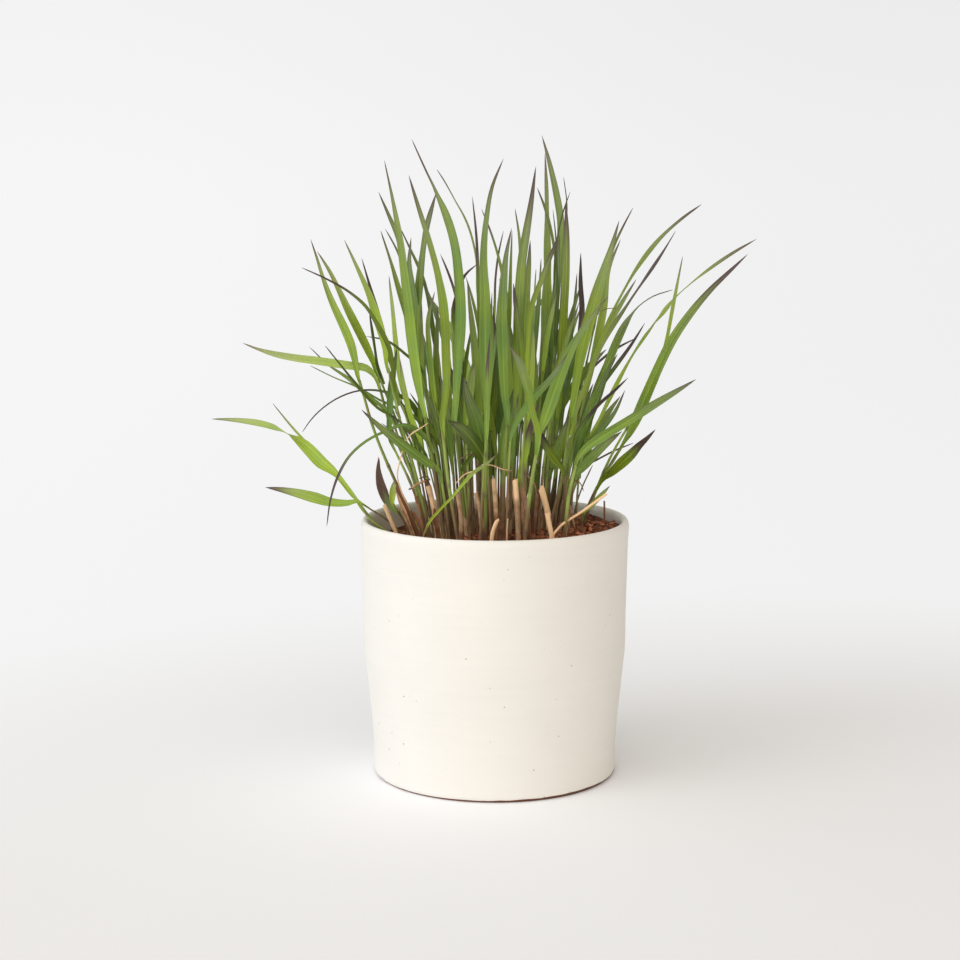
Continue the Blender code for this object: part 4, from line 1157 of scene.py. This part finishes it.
def add_stem(bm, knots, radius, green_from, light, luck):
    """A living stem: it thins upwards, swells at its joints, and turns green above its foot.
    Returns its path."""
    path = smooth_path(knots, STEM_ROW_SPACING)
    joint_gap, first = luck.uniform(19, 30), luck.uniform(6, 16)
    radii, tones = [], []
    for point, share in zip(path, shares_of(path)):
        rise = point.z - SOIL_MIDDLE - first
        away = (rise / joint_gap - round(rise / joint_gap)) * joint_gap
        joint = math.exp(-((away / JOINT_LENGTH) ** 2)) if rise > -2 else 0.0
        taper = 1.0 - (1.0 - STEM_TAPER) * share
        radii.append(radius * taper * (1.0 + JOINT_SWELL * joint))
        dry = 1.0 - smoothstep(green_from - 14, green_from + 12, point.z)
        tones.append((light, dry, joint))
    add_tube(bm, path, radii, tones, STEM_SIDES)
    return path


def blade_knots(place, path, tip_depth, lead):
    """The knots of a blade: it starts with lead, hugging its stem, then follows its path."""
    places = set_back(place, path, tip_depth, BLADE_DEPTH_BEND)
    knots = [Vector((*point, width)) for point, width in lead]
    for point, (_, _, width) in zip(places, path):
        knots.append(Vector((*point, width * (1.0 + point.y / -EYE.y))))
    return knots


def add_dry_stalk(bm, stalk, luck):
    """A dry, hollow stalk with a torn top."""
    root, radius, top_depth, split, (light, red, pale_from), drawn_path = stalk
    path = smooth_path(stem_knots(root, drawn_path, top_depth), STEM_ROW_SPACING)
    turned = frames(path, STEM_FACING)
    torn = [luck.uniform(-1.0, 1.0) for _ in range(STEM_SIDES)]
    radii = [radius * luck.uniform(0.95, 1.05) for _ in path]
    seed = luck.random()
    top, pit = len(path) - 1, len(path)
    path.append(path[top] - at_share(path, 1.0)[1] * (1.2 + 1.5 * split))
    turned.append(turned[top])
    ripe = [smoothstep(pale_from, pale_from + 0.12, share) for share in shares_of(path)]
    tones = [(light * (0.3 + 0.7 * part), red + 0.5 * (1.0 - part), seed) for part in ripe]
    bore = radius * BORE

    def lift(index, angle):
        if index != top:
            return 0.0
        step = round((angle / math.pi + 1.0) * 0.5 * STEM_SIDES) % STEM_SIDES
        return radius * split * (0.9 * torn[step] + 1.2 * math.sin(angle + 0.8))

    rings = [(0, 0.0), *enumerate(radii), (top, bore), (pit, bore), (pit, 0.0)]
    add_round(bm, path, turned, rings, tones, STEM_SIDES, lift)


def add_sheath(bm, base, along, radius, height, wrap, tone):
    """A papery sheath that wraps a stem's foot and ends in a torn point."""
    facing = (math.cos(7 * tone[2]), math.sin(7 * tone[2]), 0.1)
    _, normal, side = frames([base, base + along], facing)[0]

    def place(across, row):
        share = row / (PAPER_ROWS - 1)
        angle = wrap * across * (1.0 - 0.25 * share)
        rise = height * share * (1.0 - 0.38 * abs(across) ** 1.5 * share)
        out = normal * math.cos(angle) + side * math.sin(angle)
        flare = radius * (1.0 + 0.28 * share**3 + 0.06 * math.sin(5 * across + 9 * share))
        return base + along * rise + out * flare

    faces = add_strip(bm, PAPER_COLUMNS, PAPER_ROWS, place, lambda row: tone)
    bmesh.ops.solidify(bm, geom=faces, thickness=PAPER_THICKNESS)


def inner_shoots(count, seed):
    """Shoots that fill the clump: they stand evenly over the soil and lean outwards."""
    luck = random.Random(seed)
    for index in range(count):
        turn, reach = index * GOLDEN_ANGLE, math.sqrt((index + 0.5) / count)
        x, y = (
            middle + half * part
            for middle, half, part in zip(INNER_MIDDLE, INNER_REACH, around(reach, turn))
        )
        low = index % 3 == 0
        lean = luck.uniform(1.1, 1.4) + (0.25 if x > 15 else 0.0) + (0.2 if low else 0.0)
        base_up = luck.uniform(166, 182) if low else luck.uniform(180, 208)
        tip_up = luck.uniform(208, 236) if low else luck.uniform(240, 288) - 16 * reach
        width = luck.uniform(2.4, 5.4)
        start = Vector((x * 1.16, base_up))
        end = Vector((x * lean + luck.uniform(-9, 9), tip_up))
        path = []
        for share, wide in INNER_WIDTHS:
            across = start.x + (end.x - start.x) * share**1.35
            up = start.y + (end.y - start.y) * share * (1.1 - 0.1 * share)
            path.append((across, up, width * wide))
        light, warm = luck.uniform(0.0, 0.7), luck.uniform(0.1, 0.95)
        tone = (light, warm, luck.choice((0.97, 0.97, 0.95, 0.85)))
        face, twist = luck.uniform(-50, 50), luck.uniform(-30, 40)
        yield Shoot("inner", (x, y), y * 1.16, y * lean * 1.1, face, twist, tone, path)


def grow_shoots(shoots, groups, luck):
    """Adds each shoot's stem and blade to its group's two meshes. Returns the stems' feet."""
    feet = []
    for shoot in shoots:
        stems, blades = groups.setdefault(shoot.group, (new_mesh(), new_mesh()))
        surface = on_soil(*shoot.root)
        top = drawn(*shoot.path[0][:2], shoot.base_depth)
        aside = Vector((surface.x - top.x, surface.y - top.y, 0.0))
        middle = surface.lerp(top, 0.5) + aside * 0.1
        down = (surface - middle).normalized()
        knots = [surface + down * ROOT_DEPTH, surface, middle, top]
        radius, light = luck.uniform(0.55, 0.9), luck.uniform(0.0, 1.2)
        path = add_stem(stems, knots, radius, luck.uniform(148, 178), light, luck)
        _, along = at_share(path, 1.0)
        width = max(HUG * radius, 0.6 * shoot.path[0][2])
        lead = [(top - along * 5.0, 2.2 * radius), (top + along, width)]
        knots = blade_knots(top, shoot.path[1:], shoot.tip_depth, lead)
        fineness = (INNER_COLUMNS, INNER_ROW_SPACING) if shoot.group == "inner" else ()
        add_blade(blades, knots, shoot.face, shoot.twist, shoot.tone, *fineness)
        feet.append((path, radius))
    return feet


def pot_profile():
    """The pot's section as (radius, height): its base, wall, lip, and down to its floor."""
    lip = POT_OUTLINE[-1][1]
    steps = round((lip - FOOT_CHAMFER) / POT_RING_SPACING)
    heights = [FOOT_CHAMFER + (lip - FOOT_CHAMFER) * i / steps for i in range(steps)]
    profile = [(0.0, 0.0), (BASE_RING, 0.0), (outer_radius(0.0) - FOOT_CHAMFER, 0.0)]
    profile += [(outer_radius(height), height) for height in heights]
    middle = 0.5 * (outer_radius(lip) + inner_radius(lip))
    half = 0.5 * (outer_radius(lip) - inner_radius(lip))
    for step in range(LIP_STEPS + 1):
        angle = math.pi * step / LIP_STEPS
        rise = (POT_HEIGHT - lip) * math.sin(angle)
        profile.append((middle + half * math.cos(angle), lip + rise))
    top = FLOOR_THICKNESS + FLOOR_FILLET
    profile += [(inner_radius(height), height) for height in reversed(heights) if height > top]
    for step in range(FILLET_STEPS + 1):
        angle = 0.5 * math.pi * step / FILLET_STEPS
        inward = FLOOR_FILLET * (1.0 - math.cos(angle))
        profile.append((inner_radius(top) - inward, top - FLOOR_FILLET * math.sin(angle)))
    return [*profile, (0.0, FLOOR_THICKNESS)]


def throwing_marks(place, ring):
    """How far the wall stands out at a place: the fingers' rings, a wobble and two grooves."""
    turn, height = math.atan2(place.y, place.x), place.z
    fade = smoothstep(2, 12, height) * (1.0 - smoothstep(POT_HEIGHT - 7, POT_HEIGHT, height))
    spiral = math.sin((height / THROWING_PITCH + turn / math.tau) * math.tau)
    uneven = noise.noise(Vector((3 * math.cos(turn), 3 * math.sin(turn), height * 0.06)))
    groove = sum(
        share * math.exp(-(((height - middle) / width) ** 2)) for middle, width, share in GROOVES
    )
    return ring * fade * (0.6 + uneven) * spiral + WOBBLE * uneven * fade - GROOVE_DEPTH * groove


class POTTEDGRASS_OT_throw_pot(bpy.types.Operator):
    """Make the thrown pot with its rounded lip, rings and speckled glaze"""

    bl_idname = "potted_grass.throw_pot"
    bl_label = "Throw Pot"

    def execute(self, context):
        looks = context.scene.pot_looks
        bm = new_mesh()
        add_turned(bm, pot_profile(), POT_SEGMENTS)
        for vert in bm.verts:
            radius = vert.co.xy.length
            if radius >= WALL_FROM_RADIUS and vert.co.z >= FOOT_CHAMFER:
                vert.co.xy *= 1.0 + throwing_marks(vert.co, looks.ring_height / MM) / radius
        add_piece("thrown_pot", bm, glaze_finish(looks), "pot")
        return {"FINISHED"}


class POTTEDGRASS_OT_fill_soil(bpy.types.Operator):
    """Fill the pot with soil and strew it with bark chips, crumbs and moss"""

    bl_idname = "potted_grass.fill_soil"
    bl_label = "Fill Soil"

    def execute(self, context):
        looks = context.scene.soil_looks
        self.fill(looks)
        self.strew(looks, random.Random(looks.seed))
        return {"FINISHED"}

    def fill(self, looks):
        """The body of the soil, with a crumbly top."""
        edge, floor = SOIL_MIDDLE - SOIL_EDGE, FLOOR_THICKNESS + SOIL_GAP
        brim = inner_radius(edge) - SOIL_GAP
        rings = [brim - SOIL_RING_SPACING * i for i in range(1, int(brim / SOIL_RING_SPACING))]
        low = FLOOR_THICKNESS + FLOOR_FILLET
        profile = [(0.0, floor), (inner_radius(low) - FLOOR_FILLET, floor)]
        for height in (*range(int(low), int(edge) + 1, 10), edge, SOIL_MIDDLE):
            profile.append((inner_radius(height) - SOIL_GAP, height))
        profile += [(radius, SOIL_MIDDLE) for radius in (*rings, 0.0)]
        bm = new_mesh()
        add_turned(bm, profile, SOIL_SEGMENTS)
        tone = bm.verts.layers.float_vector["tone"]
        for vert in bm.verts:
            if vert.co.z > edge:
                crumble = noise.noise(vert.co * 0.55) + 0.6 * noise.noise(vert.co * 1.3)
                vert.co.z = soil_height(vert.co.x, vert.co.y) + SOIL_CRUMBLE * crumble
            vert[tone] = SOIL_TONE
        surface = soil_finish(looks, "damp_earth", looks.bark, 0.6 * MM)
        add_piece("soil_fill", bm, surface, "soil")

    def strew(self, looks, luck):
        """Bark chips, crumbs and moss on the soil's top."""
        reach = inner_radius(SOIL_MIDDLE) - LITTER_MARGIN
        chips, crumbs, moss = new_mesh(), new_mesh(), new_mesh()
        for index in range(looks.chips):
            share = math.sqrt((index + 0.5) / looks.chips)
            size = Vector([luck.uniform(*span) for span in CHIP_SIZES])
            turn = index * GOLDEN_ANGLE + luck.uniform(-0.3, 0.3)
            tilt = Euler((luck.gauss(0, 0.35), luck.gauss(0, 0.35), luck.uniform(0, math.tau)))
            tone = (luck.uniform(0.1, 0.95), luck.uniform(0.3, 1.3), luck.random())
            spot = around(share * (reach - 0.5 * size.x), turn)
            chip = bmesh.ops.create_cube(chips, size=1.0)["verts"]
            self.drop(chips, chip, spot, size, tilt, 0.6, tone, 0.16, luck)
        for index in range(looks.crumbs):
            share = math.sqrt((index + 0.5) / looks.crumbs)
            size = Vector((1, luck.uniform(0.6, 1), luck.uniform(0.5, 0.9)))
            size *= luck.uniform(0.7, 2.6)
            turn = index * GOLDEN_ANGLE * 1.7 + luck.uniform(-0.5, 0.5)
            tilt = Euler((luck.uniform(0, 6), luck.uniform(0, 6), 0))
            tone = (luck.uniform(0.1, 0.8), luck.uniform(0.1, 0.9), luck.random())
            spot = around(share * (reach - 1.0), turn)
            self.drop(crumbs, self.grain(crumbs), spot, size, tilt, 0.5, tone, 0.09, luck)
        for x, y in (patch for patch in MOSS_PATCHES for _ in range(TUFTS_IN_PATCH)):
            spot = (x + luck.gauss(0, 2.6), y + luck.gauss(0, 2.0))
            size = Vector((1, 1, 1.5)) * luck.uniform(0.7, 1.7)
            tilt = Euler((luck.gauss(0, 0.4), luck.gauss(0, 0.4), 0))
            tone = (luck.uniform(0.3, 1.0), 1.3, luck.random())
            self.drop(moss, self.grain(moss), spot, size, tilt, 1.1, tone, 0.14, luck)
        bark = soil_finish(looks, "bark_chip", looks.bark, 0.3 * MM)
        add_piece("bark_chips", chips, bark, sharp=25)
        add_piece("soil_crumbs", crumbs, bark, sharp=25)
        add_piece("moss_tufts", moss, soil_finish(looks, "moss", looks.moss, 0.3 * MM))

    def grain(self, bm):
        """The vertices of a new small round shape."""
        return bmesh.ops.create_icosphere(bm, subdivisions=1, radius=0.5)["verts"]

    def drop(self, bm, verts, spot, size, tilt, rise, tone, rough, luck):
        """Roughens a shape of size 1 and drops it on the soil."""
        layer = bm.verts.layers.float_vector["tone"]
        place = on_soil(*spot, rise * (0.4 + 0.9 * luck.random()))
        stand = Matrix.LocRotScale(place, tilt, size)
        for vert in verts:
            shift = Vector([luck.uniform(-rough, rough) for _ in range(3)])
            vert.co = stand @ (vert.co + shift)
            vert[layer] = tone


class POTTEDGRASS_OT_grow_clump(bpy.types.Operator):
    """Grow the main stems, their blades, and the shoots between them"""

    bl_idname = "potted_grass.grow_clump"
    bl_label = "Grow Clump"

    def execute(self, context):
        looks = context.scene.grass_looks
        luck = random.Random(looks.seed)
        green, stalk = leaf_finish(looks), stem_finish(looks)
        feet = []
        for number, stem in enumerate(STEMS, start=1):
            bm = new_mesh()
            knots = stem_knots(stem.root, stem.path, stem.top_depth)
            light = luck.uniform(0.2, 0.95)
            path = add_stem(bm, knots, stem.radius, stem.green_from, light, luck)
            feet.append((path, stem.radius))
            add_piece(f"stem_{number:02d}", bm, stalk, f"culm_{number:02d}")
        for number, blade in enumerate(BLADES, start=1):
            bm = new_mesh()
            self.grow_blade(bm, blade, *feet[blade.stem - 1])
            add_piece(f"blade_{number:02d}", bm, green, f"leaf_{number:02d}")
        groups = {}
        feet += grow_shoots(SHOOTS, groups, luck)
        feet += grow_shoots(inner_shoots(looks.inner_shoots, looks.seed), groups, luck)
        for group, (stems, blades) in groups.items():
            add_piece(f"{group}_shoot_stems", stems, stalk)
            add_piece(f"{group}_shoot_blades", blades, green)
        self.sheathe(feet, straw_finish(looks), luck)
        return {"FINISHED"}

    def grow_blade(self, bm, blade, stem, radius):
        """One blade, which goes on from its stem's top or leaves its side with a sheath."""
        place, along = at_share(stem, blade.share)
        hug = HUG * radius
        if blade.share >= 1.0:
            start = along * STRAIGHT_START
            lead = [(place - start, 0.8 * hug), (place + start, hug)]
        else:
            ahead = set_back(place, blade.path, blade.tip_depth, BLADE_DEPTH_BEND)[0]
            outward = ahead - place
            outward = (outward - along * outward.dot(along)).normalized()
            base = place + outward * (0.8 * radius)
            lead = [(base, hug), (base + along * SHEATH_LENGTH + outward * SHEATH_LEAN, hug)]
        knots = blade_knots(place, blade.path, blade.tip_depth, lead)
        add_blade(bm, knots, blade.face, blade.twist, blade.tone)

    def sheathe(self, feet, dry, luck):
        """Dry sheaths round the feet of the stems, and a few broad ones that stand alone."""
        bm = new_mesh()
        for path, radius in feet:
            if luck.random() < BARE_FEET:
                continue
            start = next(point for point in path if point.z > soil_height(point.x, point.y) - 2.5)
            ahead = next(point for point in path if point.z > start.z + 6)
            tone = (luck.uniform(0.2, 0.8), luck.uniform(0.1, 0.7), luck.random())
            add_sheath(
                bm, start, (ahead - start).normalized(), radius + luck.uniform(0.1, 0.25),
                luck.uniform(7, 18), luck.uniform(1.6, 2.7), tone,
            )
        for root, radius, height, lean, tone in BROAD_SHEATHS:
            along = Vector((*lean, 1.0)).normalized()
            add_sheath(bm, on_soil(*root, -2.0), along, radius, height, 1.5, (*tone, 0.3))
        add_piece("dry_sheaths", bm, dry)


class POTTEDGRASS_OT_lay_straw(bpy.types.Operator):
    """Stand last year's cut stubs, broken straws and twigs in the soil"""

    bl_idname = "potted_grass.lay_straw"
    bl_label = "Lay Straw"

    def execute(self, context):
        looks = context.scene.grass_looks
        luck = random.Random(looks.seed + 1)
        dry = straw_finish(looks)
        for number, stalk in enumerate(STUBS, start=1):
            bm = new_mesh()
            add_dry_stalk(bm, stalk, luck)
            add_piece(f"cut_stub_{number}", bm, dry, f"stub_{number:02d}")
        bm = new_mesh()
        for stalk in STRAWS:
            add_dry_stalk(bm, stalk, luck)
        for radius, (near, far), tone, points in TWIGS:
            start = drawn(*points[0], near)
            path = smooth_path([start, *set_back(start, points[1:], far, 1.0)], TWIG_SPACING)
            ends = [smoothstep(0.0, 0.12, min(share, 1 - share)) for share in shares_of(path)]
            radii = [radius * (0.5 + 0.5 * end) for end in ends]
            add_tube(bm, path, radii, [(*tone, luck.random())] * len(path), TWIG_SIDES)
        add_piece("broken_straws", bm, dry)
        return {"FINISHED"}


class POTTEDGRASS_OT_set_stage(bpy.types.Operator):
    """Set the pale floor and backdrop, the soft light and the camera"""

    bl_idname = "potted_grass.set_stage"
    bl_label = "Set Stage"

    def execute(self, context):
        looks = context.scene.stage_looks
        surface = stage_finish(looks)
        self.turn("floor", [(0.0, 0.0), (0.5, 0.0), (FLOOR_RADIUS, 0.0)], surface)
        sweep = []
        for step in range(SWEEP_STEPS + 1):
            angle = 0.5 * math.pi * step / SWEEP_STEPS
            out, up = math.sin(angle), 1 - math.cos(angle)
            sweep.append((FLOOR_RADIUS + SWEEP_RADIUS * out, SWEEP_RADIUS * up))
        top = (FLOOR_RADIUS + SWEEP_RADIUS, WALL_TOP)
        wall = self.turn("backdrop", [*sweep, top], surface)
        wall.visible_shadow = False
        wall.visible_diffuse = False
        self.light(context, looks)
        self.camera(context, looks)
        context.scene.view_settings.view_transform = "Standard"
        return {"FINISHED"}

    def turn(self, name, profile, surface):
        """A piece of the stage, turned about the upright axis. It faces up and inwards."""
        bm = bmesh.new()
        add_turned(bm, profile, STAGE_SEGMENTS, 0.1 * MM)
        bmesh.ops.recalc_face_normals(bm, faces=bm.faces)
        if max((face.normal.z for face in bm.faces), key=abs) < 0:
            bmesh.ops.reverse_faces(bm, faces=bm.faces)
        made = new_object(name, bm, surface)
        made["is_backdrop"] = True
        return made

    def light(self, context, looks):
        """A soft key from the left, in front and above, and pale light from all around."""
        lamp = bpy.data.lights.new("key", "AREA")
        lamp.energy = looks.key
        lamp.size = KEY_SIZE
        key = bpy.data.objects.new("key", lamp)
        key.location = KEY_PLACE
        key.rotation_euler = key.location.to_track_quat("Z", "Y").to_euler()
        context.scene.collection.objects.link(key)
        context.scene.world = world = bpy.data.worlds.new("studio")
        world.use_nodes = True
        nodes = Nodes(world.node_tree)
        sky = nodes.add("ShaderNodeTexCoord", {}, "Generated")
        bright = nodes.add(
            "ShaderNodeVectorMath", {0: sky, 1: BRIGHT_SIDE}, "Value", operation="DOT_PRODUCT"
        )
        darkest, brightest = looks.ambient - looks.lean, looks.ambient + looks.lean
        rightness = sky.parts()[0].between(-1.0, 1.0, run="LINEAR")
        background = world.node_tree.nodes["Background"]
        nodes.feed(
            background.inputs["Strength"], bright.between(-1.0, 1.0, darkest, brightest, "LINEAR")
        )
        nodes.feed(
            background.inputs["Color"], nodes.mix(rightness, looks.left_light, looks.right_light)
        )

    def camera(self, context, looks):
        """The camera, at the eye that the grass was drawn from."""
        lens = bpy.data.cameras.new("camera")
        lens.lens = looks.lens
        lens.sensor_width = SENSOR_WIDTH
        camera = bpy.data.objects.new("camera", lens)
        camera.location = EYE * MM
        camera.rotation_euler = (math.radians(CAMERA_TILT), 0.0, math.radians(CAMERA_TURN))
        context.scene.collection.objects.link(camera)
        context.scene.camera = camera


class POTTEDGRASS_PT_sidebar(bpy.types.Panel):
    """The steps and settings of the potted grass"""

    bl_idname = "POTTEDGRASS_PT_sidebar"
    bl_label = "Potted Grass"
    bl_space_type = "VIEW_3D"
    bl_region_type = "UI"
    bl_category = "Potted Grass"

    def draw(self, context):
        for title, holder, group, steps in PANEL_ROWS:
            box = self.layout.box()
            box.label(text=title)
            for name in group.__annotations__:
                box.prop(getattr(context.scene, holder), name)
            for step in steps:
                box.operator(step.bl_idname)


# The panel's boxes, as (title, name of the settings in the scene, their group, steps).
PANEL_ROWS = [
    ("Pot", "pot_looks", PotLooks, [POTTEDGRASS_OT_throw_pot]),
    ("Soil", "soil_looks", SoilLooks, [POTTEDGRASS_OT_fill_soil]),
    ("Grass", "grass_looks", GrassLooks, [POTTEDGRASS_OT_grow_clump, POTTEDGRASS_OT_lay_straw]),
    ("Stage", "stage_looks", StageLooks, [POTTEDGRASS_OT_set_stage]),
]
CLASSES = [
    *(group for _, _, group, _ in PANEL_ROWS),
    *(step for *_, steps in PANEL_ROWS for step in steps),
    POTTEDGRASS_PT_sidebar,
]


def register():
    for made in CLASSES:
        bpy.utils.register_class(made)
    for _, holder, group, _ in PANEL_ROWS:
        setattr(bpy.types.Scene, holder, PointerProperty(type=group))


def unregister():
    for _, holder, _, _ in PANEL_ROWS:
        delattr(bpy.types.Scene, holder)
    for made in reversed(CLASSES):
        bpy.utils.unregister_class(made)


def main():
    register()
    bpy.ops.potted_grass.throw_pot()
    bpy.ops.potted_grass.fill_soil()
    bpy.ops.potted_grass.grow_clump()
    bpy.ops.potted_grass.lay_straw()
    bpy.ops.potted_grass.set_stage()
    boxes = {
        name: [[float(number) for number in corner] for corner in box]
        for name, box in (("cad", CAD_BOX), ("looks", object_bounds()))
    }


if __name__ == "__main__":
    main()
